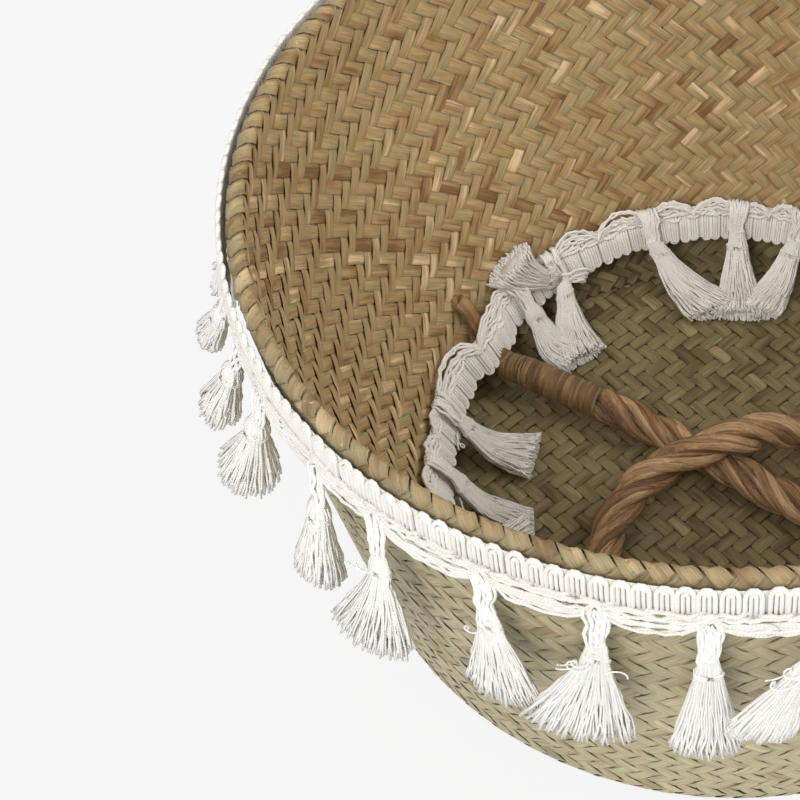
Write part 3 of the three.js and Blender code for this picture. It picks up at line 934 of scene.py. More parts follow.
@dataclass
class Trim:
    """A cotton braid: a row of knobs, running yarns and swags between the tassels."""

    name: str
    node: str
    place: Place
    radius: float
    stems: list[float]
    knob_pitch: float = 0.0059
    knob_feet: tuple[float, float] = (0.0124, 0.0118)
    knob_halves: tuple[float, float] = (0.37, 0.12)
    knob_yarns: tuple[float, float] = (0.15, 0.115)
    run_levels: tuple[float, float] = (0.0116, 0.0138)
    runs: int = 4
    run_step: float = 0.0018
    crumple: float = 0.0005
    yarn: float = 0.00082
    stray_yarn: float = 0.00032
    width: float = 0.016
    scallops: int = 1
    sag: float = 0.0105
    swag_yarns: int = 9
    loops: bool = True
    seed: int = 11

    def outwards(self, angle: Array, down: Array) -> Array:
        """The direction out of the face that the braid lies on."""
        near = self.place(angle, down, np.zeros_like(down))
        return unit(self.place(angle, down, np.full_like(down, 0.001)) - near)

    def lay(
        self, draft: Draft, across: Array, down: Array, proud: Array, yarn: float,
        rng: Rng, sides: int = 5, closed: bool = False
    ) -> None:
        """Lays yarns along the braid.

        Args:
            draft: Where the yarns go.
            across: The angle of each sample.
            down: The distance from the knobs' edge.
            proud: The distance from the face.
            yarn: The yarn's radius.
            rng: The source of small differences.
            sides: Points round the yarn.
            closed: Whether each yarn is a ring.
        """
        centre = self.place(across, down, proud)
        towards = self.outwards(across, down)
        tone = rng.uniform(0, 0.5, (len(across), 1))
        draft.tubes(centre, yarn, sides, towards, closed=closed, tone=tone)

    def knobs(self, draft: Draft, rng: Rng) -> None:
        """The row of small upright loops along one edge."""
        count = round(TAU * self.radius / self.knob_pitch)
        middle = (np.arange(count) * TAU / count)[:, None]
        middle = middle + rng.uniform(-0.0007, 0.0007, (count, 1)) / self.radius
        pitch = self.knob_pitch
        rows = zip(self.knob_halves, self.knob_feet, self.knob_yarns, (0.0010, 0.0013))
        for inner, (half, foot, yarn, proud) in enumerate(rows):
            half, yarn = half * pitch, yarn * pitch
            bend = np.linspace(math.pi, 0, 6)
            along = np.concatenate([[-half, -half], half * np.cos(bend), [half, half]])
            crest = yarn + half + inner * 0.19 * pitch
            down = np.concatenate(
                [[foot, foot * 0.6], crest - half * np.sin(bend), [foot * 0.6, foot]]
            )
            uneven = rng.uniform(-0.0005, 0.0005, (count, 1))
            across = middle + along[None] / self.radius
            depth = np.broadcast_to(down, across.shape) + uneven
            lift = np.broadcast_to(proud + 0.0004 * np.sin(np.pi * down / foot), across.shape)
            self.lay(draft, across, depth, lift, yarn, rng, sides=5)

    def running_yarns(self, draft: Draft, rng: Rng) -> None:
        """The wavy yarns that run round over the feet of the knobs."""
        samples = int(TAU * self.radius / self.run_step)
        across = np.linspace(0, TAU, samples, endpoint=False)[None]
        knobs = round(TAU * self.radius / self.knob_pitch)
        for i, level in enumerate(np.linspace(*self.run_levels, self.runs)):
            wave = 0.00045 * np.sin(across * knobs + i * math.pi)
            slow = 0.0007 * np.sin(across * 23 + rng.uniform(0, 6))
            crumpled = self.crumple * wobble(rng, 2, samples, 90.0)
            down = level + wave + slow + crumpled[:1]
            proud = 0.0016 + 0.0005 * np.cos(across * knobs / 2 + i * math.pi) + crumpled[1:]
            self.lay(draft, across, down, proud, self.yarn * 0.9, rng, closed=True)

    def swags(self, draft: Draft, rng: Rng) -> None:
        """The yarns that sag between the tassel stems, and cross at each stem."""
        share = np.linspace(-0.08, 1.08, 16)
        for first, last in zip(self.stems, [*self.stems[1:], self.stems[0] + TAU]):
            marks = np.linspace(first, last, self.scallops + 1)
            for start, end in zip(marks, marks[1:]):
                width = (end - start) * self.radius
                reach = min(self.sag, width * 0.3)
                for _ in range(self.swag_yarns):
                    sag = reach * rng.uniform(0.2, 1.0)
                    hang = 4 * np.clip(share, 0, 1) * (1 - np.clip(share, 0, 1))
                    hang = hang ** rng.uniform(0.6, 1.0)
                    down = self.width - 0.0021 + sag * hang
                    down = down + rng.uniform(-0.0006, 0.0006) - 0.002 * (hang <= 0)
                    proud = 0.0014 + 0.0010 * rng.uniform() + 0.0004 * np.sin(share * 9)
                    across = start + (end - start) * share
                    crumpled = self.crumple * wobble(rng, 2, len(share), 5.0)
                    down, proud = down + crumpled[0], proud + crumpled[1]
                    line = (across[None], down[None], proud[None])
                    self.lay(draft, *line, self.yarn * 0.78, rng, 4)

    def stray_loops(self, draft: Draft, rng: Rng) -> None:
        """Single thin yarns that have come loose in rings at the lower edge."""
        for stem in self.stems:
            if not self.loops or rng.uniform() < 0.45:
                continue
            middle = stem + rng.uniform(0.3, 0.7) * 0.15
            size = rng.uniform(0.0022, 0.0040)
            bend = np.linspace(0.35, TAU - 0.35, 16)
            across = middle + size * np.sin(bend) * 1.1 / self.radius
            down = self.width + size * 0.6 - size * np.cos(bend)
            proud = 0.0016 + 0.0008 * np.cos(bend * 0.5)
            self.lay(draft, across[None], down[None], proud[None], self.stray_yarn, rng)

    def band(self, draft: Draft) -> None:
        """The flat braid behind the knobs and yarns."""
        samples = 240
        across = np.linspace(0, TAU, samples, endpoint=False)
        down = np.linspace(0.0012, self.width - 0.0012, 6)
        grid_a, grid_d = np.meshgrid(across, down, indexing="ij")
        points = self.place(grid_a, grid_d, np.full_like(grid_a, 0.0006))
        draft.ring(points, tone=0.5, along=grid_a * self.radius)

    def build(self, cotton: Material) -> None:
        """Makes the braid."""
        rng = np.random.default_rng(self.seed)
        draft = Draft()
        self.band(draft)
        self.knobs(draft, rng)
        self.running_yarns(draft, rng)
        self.swags(draft, rng)
        self.stray_loops(draft, rng)
        draft.make(self.name, cotton, Body.BASKET, Slot.COTTON, (self.node,))


@dataclass
class TasselShape:
    """How one tassel hangs; its angles are in degrees.

    Attributes:
        sway: How far the whole tassel swings sideways.
        lean: How far the skirt leans sideways.
        out: How far it hangs out from the face.
        curl: How far the end of the skirt is swept sideways, in metres.
        spread: How wide the skirt is.
        length: How long it is, as a share of a whole one.
        depth: How thick a skirt of plain width is, as a share of that width.
        loose: How many curly threads have come loose.
    """

    sway: float = 0.0
    lean: float = 0.0
    out: float = 0.0
    curl: float = 0.0
    spread: float = 1.0
    length: float = 1.0
    depth: float = 0.5
    loose: int = 0


@dataclass
class Tassel:
    """A tassel of cotton threads: a stem of yarns, a tied head and a skirt.

    Attributes:
        line: The middle line, from the braid to the end of a whole tassel.
        side: The direction in which the bundle is wide.
        shape: How it hangs.
        seed: The start of its random differences.
        seen: Whether the picture shows it; the others have fewer, thicker threads.
        floor: The height below which no thread goes.
    """

    line: Array
    side: Array
    shape: TasselShape
    seed: int
    seen: bool
    floor: float = -1.0
    stem_end: float = 0.28
    tie: float = 0.385
    stem_yarns: int = 8
    stem_yarn: float = 0.00062
    fine: tuple[int, float] = (230, 0.00044)
    coarse: tuple[int, float] = (84, 0.00066)
    tie_turns: int = 3
    tie_yarn: float = 0.00042
    loose_yarn: float = 0.00032

    def half_width(self, share: Array) -> Array:
        """Half the width of the bundle at shares of the length."""
        at = (self.stem_end - 0.02, 0.33, self.tie, 0.45, 0.7, 1.0)
        spread = self.shape.spread
        wide = (0.0022, 0.0046, 0.0036, 0.0044, 0.0072 * spread**0.7, 0.0103 * spread)
        return np.interp(share, at, wide)

    @property
    def flatness(self) -> float:
        """The bundle's thickness as a share of its width."""
        return self.shape.depth / max(self.shape.spread, 1.0)

    def axes(self, share: Array) -> tuple[Array, Array, Array]:
        """The middle line and its two cross directions at shares of the length."""
        total = lengths_along(self.line)[-1]
        centre = point_at(self.line, np.clip(share, 0, 1) * total)
        ahead = point_at(self.line, np.clip(share + 0.01, 0, 1) * total)
        behind = point_at(self.line, np.clip(share - 0.01, 0, 1) * total)
        along = unit(ahead - behind)
        side = unit(self.side - along * (along @ self.side)[..., None])
        past = np.maximum(share - 1, 0)[..., None] * total
        below = np.clip(share - self.stem_end, 0, None)
        bend = below * total * math.tan(math.radians(self.shape.lean))
        bend = bend + self.shape.curl * (below / (1 - self.stem_end)) ** 2
        return centre + along * past + side * bend[..., None], side, np.cross(along, side)

    def yarns(self, across: Array, deep: Array, share: Array) -> Array:
        """Lines of points from places across and through the bundle, kept above the floor."""
        centre, side, out = self.axes(share)
        points = centre + side * across[..., None] + out * deep[..., None]
        points[..., 2] = np.maximum(points[..., 2], self.floor)
        return points

    def add_to(self, draft: Draft) -> None:
        """Adds the tassel's yarns and threads to a draft."""
        rng = np.random.default_rng(self.seed)
        self.stem(draft, rng)
        self.core(draft)
        self.skirt(draft, rng)
        self.binding(draft)
        for _ in range(self.shape.loose):
            self.curly_thread(draft, rng)

    def stem(self, draft: Draft, rng: Rng) -> None:
        """The loose yarns from the braid to the head."""
        count, samples = self.stem_yarns, 14
        share = np.linspace(-0.06, self.stem_end + 0.05, samples)
        share = np.broadcast_to(share, (count, samples))
        fan = np.linspace(-1, 1, count)[:, None] * 0.0036
        narrow = 1 - 0.35 * share / self.stem_end
        sway = 0.0009 * wobble(rng, 1, samples, 1.3)
        across = fan * narrow + sway + 0.0004 * wobble(rng, count, samples, 2.4)
        deep = rng.uniform(-0.0005, 0.0009, (count, 1)) + 0.0004 * wobble(rng, count, samples, 2.0)
        centre = self.yarns(across, deep, share)
        _, _, out = self.axes(share)
        draft.tubes(centre, self.stem_yarn, 6, out, tone=rng.uniform(0, 0.4, (count, 1)))

    def core(self, draft: Draft) -> None:
        """The body of the bundle under its outer threads."""
        bent = 0.005 * abs(self.shape.lean) + 4 * abs(self.shape.curl)
        share = np.linspace(self.stem_end, (0.96 - bent) * self.shape.length, 12)[None]
        centre = self.yarns(np.zeros_like(share), np.zeros_like(share), share)
        _, _, out = self.axes(share)
        width = self.half_width(share) * 0.8
        width[:, 0] *= 0.2
        draft.tubes(centre, width, 14, out, flat=self.flatness * 0.75, tone=0.5)

    def skirt(self, draft: Draft, rng: Rng) -> None:
        """The threads of the head and skirt, each with its own end."""
        count, thread = self.fine if self.seen else self.coarse
        samples = 9
        end = (1 - 0.045 * rng.uniform(0, 1, (count, 1)) ** 2) * self.shape.length
        start = self.stem_end - 0.01
        step = np.linspace(0, 1, samples) ** 0.9
        share = start + (end - start) * step
        round_ = (np.arange(count)[:, None] + rng.uniform(0, 1, (count, 1))) * TAU / count
        depth = np.sqrt(rng.uniform(0.3, 1.0, (count, 1)))
        width = self.half_width(np.minimum(share, 1.0))
        loose = np.clip(share - self.tie, 0, None)
        across = width * depth * np.cos(round_)
        across = across + 0.0022 * loose**1.3 * wobble(rng, count, samples, 1.3)
        across = across + 0.00022 * wobble(rng, count, samples, 6.0)
        deep = width * self.flatness * depth * np.sin(round_)
        deep = deep + 0.0014 * loose * wobble(rng, count, samples, 1.6)
        centre = self.yarns(across, deep, share)
        _, _, out = self.axes(share)
        tip = np.linspace(1, 1.15, samples)[None]
        draft.tubes(centre, thread * tip, 3, out, tone=rng.uniform(0, 0.8, (count, 1)))

    def binding(self, draft: Draft) -> None:
        """The yarn that is wound round the neck."""
        wound = self.tie_turns * TAU
        bend = np.linspace(0, wound, 34)[None]
        share = self.tie - 0.014 + 0.028 * bend / wound
        size = self.half_width(share) + 0.0004
        centre = self.yarns(size * np.cos(bend), size * self.flatness * np.sin(bend) * 1.1, share)
        _, side, _ = self.axes(share)
        towards = np.cross(side, np.gradient(centre, axis=1))
        draft.tubes(centre, self.tie_yarn, 5, towards, tone=0.9)

    def curly_thread(self, draft: Draft, rng: Rng) -> None:
        """A curly loose thread near the head."""
        samples = 26
        step = np.linspace(0, 1, samples)[None]
        way = rng.choice((-1.0, 1.0))
        turns = rng.uniform(0.8, 1.6) * TAU
        size = rng.uniform(0.0012, 0.0026)
        share = rng.uniform(0.31, 0.42) + 0.07 * step + size / 0.066 * np.sin(turns * step)
        across = way * (0.003 + 0.006 * step) + size * np.cos(turns * step)
        deep = 0.002 + 0.001 * np.sin(turns * step * 0.7)
        centre = self.yarns(across, deep, share)
        draft.tubes(centre, self.loose_yarn, 4, np.array((0.1, 0.2, 1.0)), tone=0.2)


@dataclass
class FoldTrim:
    """The trim below the fold, on the outside, and its hanging tassels."""

    form: BasketForm
    drop: float = 0.0015
    width: float = 0.016
    tassel_length: float = 0.066
    tassel_out: float = 0.0023
    seen: tuple[float, ...] = (197, 204, 211.5, 223.5, 232.5, 246, 258, 269, 281)
    more: int = 25
    shapes: tuple[TasselShape, ...] = (
        TasselShape(sway=-30, out=12, length=0.74, spread=0.9, depth=0.7),
        TasselShape(sway=-21, out=12, length=0.78, spread=1.15, depth=0.95),
        TasselShape(sway=-16, out=8, length=0.8, spread=1.5, depth=1.4),
        TasselShape(sway=-5, out=5, length=0.82, spread=1.2, depth=0.9),
        TasselShape(
            sway=3, out=7, lean=-3, curl=-0.006, length=0.88, spread=1.9, depth=0.9, loose=1
        ),
        TasselShape(lean=4, length=0.92, spread=1.4, loose=1),
        TasselShape(lean=-6, curl=-0.003, spread=1.75, loose=3),
        TasselShape(lean=-1, spread=1.05),
        TasselShape(sway=-18, out=5, lean=-8, spread=1.4, length=0.8, loose=4),
    )

    last_shapes: tuple[TasselShape, ...] = (
        TasselShape(sway=-24, out=9, length=0.9, spread=1.2, depth=0.7),
        TasselShape(sway=-26, out=8, length=0.9, spread=1.2, depth=0.7),
    )

    def place(self, angle: Array, down: Array, proud: Array) -> Array:
        """A place on the outside by angle, distance from the knobs' edge and from the face."""
        form = self.form
        z = form.height - self.drop - np.asarray(down, float)
        above = np.clip(z - form.fold_z, 0, form.fold_bend)
        hug = form.fold_bend - np.sqrt(form.fold_bend**2 - above**2)
        r = form.fold_radius - hug + form.gap + proud
        angle, r, z = np.broadcast_arrays(angle, r, z)
        return np.stack([r * np.cos(angle), r * np.sin(angle), z], -1)

    def angles(self) -> list[float]:
        """The tassels' angles in radians: those seen, then more until the ring closes."""
        first, last = self.seen[0], self.seen[-1]
        rest = np.linspace(last, 360 + first, self.more + 2)[1:-1]
        return [math.radians(a) for a in (*self.seen, *rest)]

    def build(self, cotton: Material, thread: Material) -> None:
        """Makes the braid and its tassels."""
        stems = self.angles()
        radius = self.form.fold_radius
        Trim("fold_braid", "fold_trim_braid", self.place, radius, stems, width=self.width).build(
            cotton
        )
        rng = np.random.default_rng(3)
        for i, angle in enumerate(stems):
            shape = self.any_shape(rng)
            if i < len(self.shapes):
                shape = self.shapes[i]
            elif i >= len(stems) - len(self.last_shapes):
                shape = self.last_shapes[i - len(stems)]
            draft = Draft()
            seen = i < len(self.shapes)
            line = self.line(angle, shape)
            Tassel(line, ways(angle)[1], shape, 100 + i, seen).add_to(draft)
            node = f"fold_tassel_{i + 1:02d}"
            draft.make(f"{node}_threads", thread, Body.BASKET, Slot.COTTON, (node,))

    def any_shape(self, rng: Rng) -> TasselShape:
        """A shape for a tassel that the picture doesn't show."""
        return TasselShape(
            lean=rng.normal(0, 7), out=rng.uniform(0, 5), curl=rng.normal(0, 0.003),
            spread=rng.uniform(1.0, 1.6), length=rng.uniform(0.93, 1.02),
            loose=int(rng.integers(0, 3))
        )

    def line(self, angle: float, shape: TasselShape) -> Array:
        """The middle line of a hanging tassel."""
        top = self.place(np.array(angle), np.array(self.width - 0.001), np.array(self.tassel_out))
        share = np.linspace(0, 1, 14)[:, None]
        away, sway = math.radians(shape.out), math.radians(shape.sway)
        outwards, sideways = ways(angle)
        fall = sideways * math.sin(sway) - UP * math.cos(away) * math.cos(sway)
        return top + self.tassel_length * (share * fall + share**1.3 * math.sin(away) * outwards)


@dataclass
class RimTrim:
    """The trim along the rim, inside, and the tassels that fall over it into the basket."""

    form: BasketForm
    left_lay: tuple[Array, Array]
    thickness: float = 0.0026
    lift: float = 0.00405
    clearance: float = 12.0
    pitch: float = 16.0
    back: tuple[tuple[float, ...], ...] = ((74, 87.5), (107,), (130, 140))
    left: tuple[float, ...] = (172, 185, 200)
    stem: float = 0.0026
    head: float = 0.0043
    skirt: float = 0.008
    flatness: float = 0.55
    reach: float = 0.020
    upturned_path: tuple[tuple[float, float, float], ...] = (
        (124, 0.0195, 0.0055), (128.5, 0.0230, 0.0060), (133, 0.0270, 0.0060),
        (136.5, 0.0325, 0.0055), (139, 0.0395, 0.0050), (140.5, 0.0490, 0.0045)
    )
    shapes: dict[float, TasselShape] = field(
        default_factory=lambda: {
            74: TasselShape(lean=8, curl=0.006, spread=1.1, length=0.9),
            87.5: TasselShape(lean=-4, spread=1.1, length=0.95),
            107: TasselShape(lean=-21, curl=-0.008, spread=1.5, length=0.95),
            130: TasselShape(lean=17, spread=1.3, length=0.9),
            140: TasselShape(lean=0, spread=1.2, length=0.82),
            172: TasselShape(lean=0, spread=1.15, length=0.92, loose=2),
            185: TasselShape(lean=10, curl=0.008, spread=0.65, length=0.93, loose=1),
        }
    )

    def lifted(self, angle: Array) -> Array:
        """How far the braid stands off where it passes over a rope tail."""
        total = np.zeros_like(np.asarray(angle, float))
        for leg in (*self.form.left_legs, *self.form.right_legs):
            away = np.degrees(apart(np.asarray(angle), math.radians(leg)))
            share = np.clip((8.0 - away) / 4.5, 0, 1)
            total = np.maximum(total, self.lift * share * share * (3 - 2 * share))
        return total

    def place(self, angle: Array, down: Array, proud: Array) -> Array:
        """A place on the rim by angle, distance up from the knobs' edge and from the face."""
        angle, down, proud = np.broadcast_arrays(angle, down, proud)
        z = self.form.rim_height + down
        heights = np.linspace(z.min(), z.max(), 24)
        faces = [self.form.funnel_face(float(h)) for h in heights]
        face = np.interp(z, heights, faces)
        r = face - self.form.gap - self.lifted(angle) - proud
        return self.form.funnel_point(angle, r, z)

    def between_legs(self, first: float, last: float) -> list[float]:
        """Evenly spaced tassels, in degrees, that keep clear of the legs at both ends."""
        start, end = first + self.clearance, last - self.clearance
        count = round((end - start) / self.pitch)
        return list(np.linspace(start, end, count + 1))

    def groups(self) -> list[list[float]]:
        """The tassels in degrees, in the pairs that share a node."""
        left_front, (right_front, right_back) = self.form.left_legs[1], self.form.right_legs
        stretches = [
            [*self.left, left_front - 1.25 * self.clearance],
            self.between_legs(left_front, right_front),
            self.between_legs(right_front, right_back + 360),
        ]
        pairs = [run[i : i + 2] for run in stretches for i in range(0, len(run), 2)]
        return [*(list(group) for group in self.back), *pairs]

    def lie_direction(self, angle: float, start: Array) -> Array:
        """Which way a tassel lies: along a near leg of the left handle, or to the middle."""
        for degrees, towards in zip(self.form.left_legs, self.left_lay):
            if apart(angle, math.radians(degrees)) < math.radians(1.3 * self.clearance):
                return unit((towards - self.form.hinge(degrees)) * (1 - UP))
        return unit(-start * (1 - UP))

    def line(self, angle: float) -> Array:
        """The middle line of a tassel over the braid, down and inwards on the base."""
        form, gap = self.form, self.form.gap
        lying = form.thickness + gap + self.skirt * self.flatness * 0.7
        clear = self.thickness + 4 * gap + self.head * self.flatness
        top = form.rim_height + self.form.trim_width
        stem_z = top + gap + self.stem * self.flatness
        top_r = form.funnel_face(top) - gap
        foot_r = form.funnel_face(form.rim_height) - clear - self.head * self.flatness / 2
        middle_z = form.rim_height + self.form.trim_width / 2
        hanging = [
            (top_r - 0.001, stem_z), (top_r - self.thickness - gap, stem_z + 1.5 * gap),
            (top_r - self.thickness - self.stem - gap, top + 1.5 * gap),
            (form.funnel_face(middle_z) - clear, middle_z), (foot_r, form.rim_height - 0.001),
            (foot_r - self.skirt, lying + 0.002)
        ]
        points = [form.funnel_point(angle, r, z) for r, z in hanging]
        end = points[-1] + self.lie_direction(angle, points[-1]) * self.reach
        end[2] = lying
        return smooth_line(np.array([*points, end]), 8)

    def upturned(self, draft: Draft) -> None:
        """The threads that lie up against the wall over the braid, behind the left handle."""
        bends = np.array(self.upturned_path)
        angles, heights = np.radians(bends[:, 0]), bends[:, 1]
        faces = np.array([self.form.funnel_face(float(z)) for z in heights])
        line = smooth_line(self.form.funnel_point(angles, faces - bends[:, 2], heights), 8)
        side = unit(np.array((-0.75, -0.6, -0.3)))
        shape = TasselShape(spread=1.35, length=0.84, depth=0.7, loose=2)
        Tassel(line, side, shape, 411, True).add_to(draft)

    def build(self, cotton: Material) -> None:
        """Makes the braid and its tassels."""
        groups = self.groups()
        stems = [math.radians(a) for group in groups for a in group]
        Trim(
            "rim_braid", "rim_trim_braid", self.place, self.form.rim_radius, stems,
            width=self.form.trim_width, knob_pitch=0.0045, crumple=0.0006, scallops=2, sag=0.0065,
            swag_yarns=7, loops=False, seed=23
        ).build(cotton)
        rng = np.random.default_rng(5)
        floor = self.form.thickness + 0.0003
        for i, group in enumerate(groups):
            draft = Draft()
            for degrees in group:
                angle = math.radians(degrees)
                shape = self.shapes.get(degrees) or TasselShape(
                    lean=rng.normal(0, 5), curl=rng.normal(0, 0.003), spread=rng.uniform(0.9, 1.3),
                    length=rng.uniform(0.88, 1.0)
                )
                line, side = self.line(angle), ways(angle)[1]
                seen = degrees in self.shapes
                Tassel(line, side, shape, 300 + int(degrees), seen, floor).add_to(draft)
            if 140 in group:
                self.upturned(draft)
            node = f"rim_tassels_{i + 1:02d}"
            draft.make(f"{node}_threads", cotton, Body.BASKET, Slot.COTTON, (node,))


# Handles


@dataclass
class Rope:
    """A handle rope of three twisted strands, thin under its whippings."""

    form: BasketForm
    line: Array
    side: str
    body: Body
    bound: float = 0.0041
    strands: int = 3
    leaves: int = 6
    twist: float = 0.052
    bound_length: float = 0.0300
    strand_away: float = 0.51
    strand_radius: float = 0.54
    core: float = 0.86
    step: float = 0.0017
    sides: int = 22
    seed: int = 31

    def sizes(self, along: Array) -> Array:
        """The rope's radius at distances from its start."""
        total = along[-1]
        near = np.minimum(along, total - along)
        at = (0.0, 0.0016, 0.004, self.bound_length, self.bound_length + 0.006)
        wide = (0.0012, 0.0034, self.bound, self.bound, self.form.rope_radius)
        return np.interp(near, at, wide)

    def build(self, material: Material) -> None:
        """Makes the rope."""
        rng = np.random.default_rng(self.seed)
        total = lengths_along(self.line)[-1]
        along = np.linspace(0, total, int(total / self.step))
        line = point_at(self.line, along)
        side, up = carried_frames(line, np.array((0.3, 0.2, 1.0)))
        size = self.sizes(along)
        draft = Draft()
        for strand in range(self.strands):
            turn = TAU * (along / self.twist + strand / self.strands)
            turn = turn + 0.25 * wobble(rng, 1, len(along), 4.0)[0]
            away = size * self.strand_away
            thick = size * self.strand_radius * (1 + 0.07 * wobble(rng, 1, len(along), 9.0)[0])
            out = around(side, up, turn)
            centre = line + out * away[:, None]
            thin = np.cross(out, unit(np.gradient(line, axis=0)))
            look = {"flat": 0.86, "turn": turn * 0.4, "ridges": 0.07, "tone": 0.3}
            draft.yarn(centre, self.core * thick, self.sides, thin, **look)
            self.wrap(draft, rng, centre, thick, turn)
        name, node = f"{self.side}_rope_strands", f"{self.side}_handle_rope"
        draft.make(name, material, self.body, Slot.ROPE, (node,))

    def wrap(
        self, draft: Draft, rng: Rng, centre: Array, thick: Array, turn: Array
    ) -> None:
        """Adds the flat leaves that a strand is twisted from.

        Args:
            draft: Where the leaves go.
            rng: The source of small differences.
            centre: The middle line of the strand.
            thick: The strand's radius at each sample.
            turn: How far the strand has turned round the rope at each sample.
        """
        side, up = carried_frames(centre, np.array((0.2, 0.1, 1.0)))
        samples = len(thick)
        for leaf in range(self.leaves):
            place = TAU * leaf / self.leaves + turn * 0.55
            place = place + 0.35 * wobble(rng, 1, samples, 5.0)[0]
            out = around(side, up, place)
            away = thick * (0.74 + 0.07 * wobble(rng, 1, samples, 12.0)[0])
            width = thick * (0.54 + 0.08 * wobble(rng, 1, samples, 7.0)[0])
            tone = rng.uniform(0.15, 0.9) + 0.2 * wobble(rng, 1, samples, 8.0)
            leaf_line = centre + out * away[:, None]
            draft.yarn(leaf_line, width, 6, out, flat=0.46, tone=np.clip(tone, 0, 1))


@dataclass
class Whipping:
    """A strip wound round a leg of a handle."""

    hinge: Array
    along: Array
    node: str
    body: Body
    turns: int = 10
    strips: int = 3
    pitch: float = 0.003
    start: float = 0.0016
    bound: float = 0.0054
    half_width: float = 0.00060
    half_thickness: float = 0.00034

    def build(self, material: Material) -> None:
        """Makes the winding, of strips that lie side by side."""
        across = unit(np.cross(UP, self.along))
        up = np.cross(self.along, across)
        steps = self.turns * STEPS_PER_TURN
        share = np.linspace(0, 1, steps)
        rng = np.random.default_rng(len(self.node) + 6)
        draft = Draft()
        for strip in range(self.strips):
            wound = share * (self.turns + 0.6)
            turn = (wound + strip / self.strips) * TAU
            out = around(across, up, turn)
            uneven = 0.00012 * wobble(rng, 2, steps, 40.0)
            radius = self.bound + self.half_thickness + 0.0002 + uneven[0]
            run = self.start + uneven[1] + wound * self.pitch
            centre = self.hinge + self.along * run[:, None] + out * radius[:, None]
            tone = np.clip(0.5 + 0.45 * wobble(rng, 1, steps, 9.0), 0, 1)
            flat = self.half_thickness / self.half_width
            draft.yarn(centre, self.half_width, 8, out, flat=flat, tone=tone)
        draft.make(f"{self.node}_strip", material, self.body, Slot.WHIPPING, (self.node,))


@dataclass
class Tail:
    """The end of a handle rope: knotted behind the wall, through its hole and under the trim."""

    form: BasketForm
    degrees: float
    node: str
    hole_above_rim: float = 0.0245
    radius: float = 0.003
    flat: float = 0.0015
    knot_radius: float = 0.0053
    knot_length: float = 0.0054
    stand_off: float = 0.00095
    ball: float = 0.004
    neck_length: float = 0.013
    neck_past: float = 0.0030
    neck_turns: int = 9
    neck_strips: int = 3
    neck_half_width: float = 0.00056
    twist: float = 0.03

    def line(self) -> Array:
        """The middle line, from the knot to the hinge."""
        form = self.form
        angle = math.radians(self.degrees)
        hole_z = form.rim_height + self.hole_above_rim
        inwards = unit(np.array((-1.0, slope_at(form.funnel_radius, hole_z))))
        middle = np.array((float(form.funnel_radius(hole_z)), hole_z))

        def through(distance: float) -> tuple[float, float]:
            """A point on the line through the hole."""
            r, z = middle + inwards * distance
            return float(r), float(z)

        def on_face(z: float) -> tuple[float, float]:
            """A point just in front of the inside face."""
            return form.funnel_face(z) - form.gap - self.flat, z

        out_r, out_z = through(form.thickness + self.radius)
        rim_top = form.rim_height + form.trim_width
        end = form.rim_radius - form.hinge_inset + self.ball + form.gap
        rim_face = form.funnel_face(form.rim_height)
        places = [
            through(-(form.thickness / 2 + form.gap + self.knot_length)), through(0.0),
            through(form.thickness), (out_r, out_z - self.radius),
            (form.funnel_face(rim_top + 0.001) - self.stand_off - self.flat, rim_top + 0.001),
            on_face(rim_top - form.trim_width / 2), on_face(form.rim_height + 0.001),
            (rim_face + (end - rim_face) * 0.55, form.rim_height - form.gap - 2 * self.flat),
            (end, form.hinge_height - 0.001)
        ]
        return smooth_line(np.array([form.funnel_point(angle, r, z) for r, z in places]), 12)

    def build(self, material: Material) -> None:
        """Makes the tail."""
        line = self.line()
        total = lengths_along(line)[-1]
        along = np.linspace(0, total, 70)
        knot, wide = self.knot_length, self.knot_radius
        size = np.interp(
            along, (0, knot * 0.3, knot * 0.7, knot, total),
            (wide * 0.5, wide, wide, self.radius, self.radius)
        )
        look = {
            "flat": np.interp(along / total, (0.2, 0.34), (0.95, self.flat / self.radius)),
            "turn": along / self.twist * TAU, "ridges": 0.12, "tone": 0.5
        }
        inwards = -ways(math.radians(self.degrees))[0]
        draft = Draft()
        draft.yarn(point_at(line, along), size, 24, inwards, **look)
        draft.make(f"{self.node}_rope", material, Body.BASKET, Slot.ROPE, (self.node,))

    def neck(self, material: Material, hinge: Array, along: Array) -> None:
        """Makes the winding from under the trim to the whipping, which bends at the hinge.

        Args:
            material: What it is wound from.
            hinge: Where the handle's leg turns.
            along: Which way the leg leaves the hinge.
        """
        line = self.line()
        total = lengths_along(line)[-1]
        steps = self.neck_turns * STEPS_PER_TURN
        share = np.linspace(0, 1, steps)
        line = point_at(line, np.linspace(total - self.neck_length, total, 14))
        end = hinge + along * self.neck_past
        line = smooth_line(np.array([*line[:-1:3], line[-1], hinge, end]))
        spine = point_at(line, share * lengths_along(line)[-1])
        side, up = carried_frames(spine, UP)
        thick = np.interp(share, (0, 0.4, 0.9, 1), (0.0036, 0.0052, 0.0057, 0.0052))[:, None]
        rng = np.random.default_rng(int(self.degrees))
        draft = Draft()
        for strip in range(self.neck_strips):
            turn = (share * self.neck_turns + strip / self.neck_strips) * TAU
            out = around(side, up, turn)
            tone = np.clip(0.5 + 0.45 * wobble(rng, 1, steps, 5.0), 0, 1)
            draft.yarn(spine + out * thick, self.neck_half_width, 8, out, flat=0.55, tone=tone)
        name = f"{self.node}_winding"
        winding = draft.make(name, material, None, Slot.WHIPPING, (self.node,))
        start = hinge - unit(hinge - spine[0]) * self.ball
        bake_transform(winding)


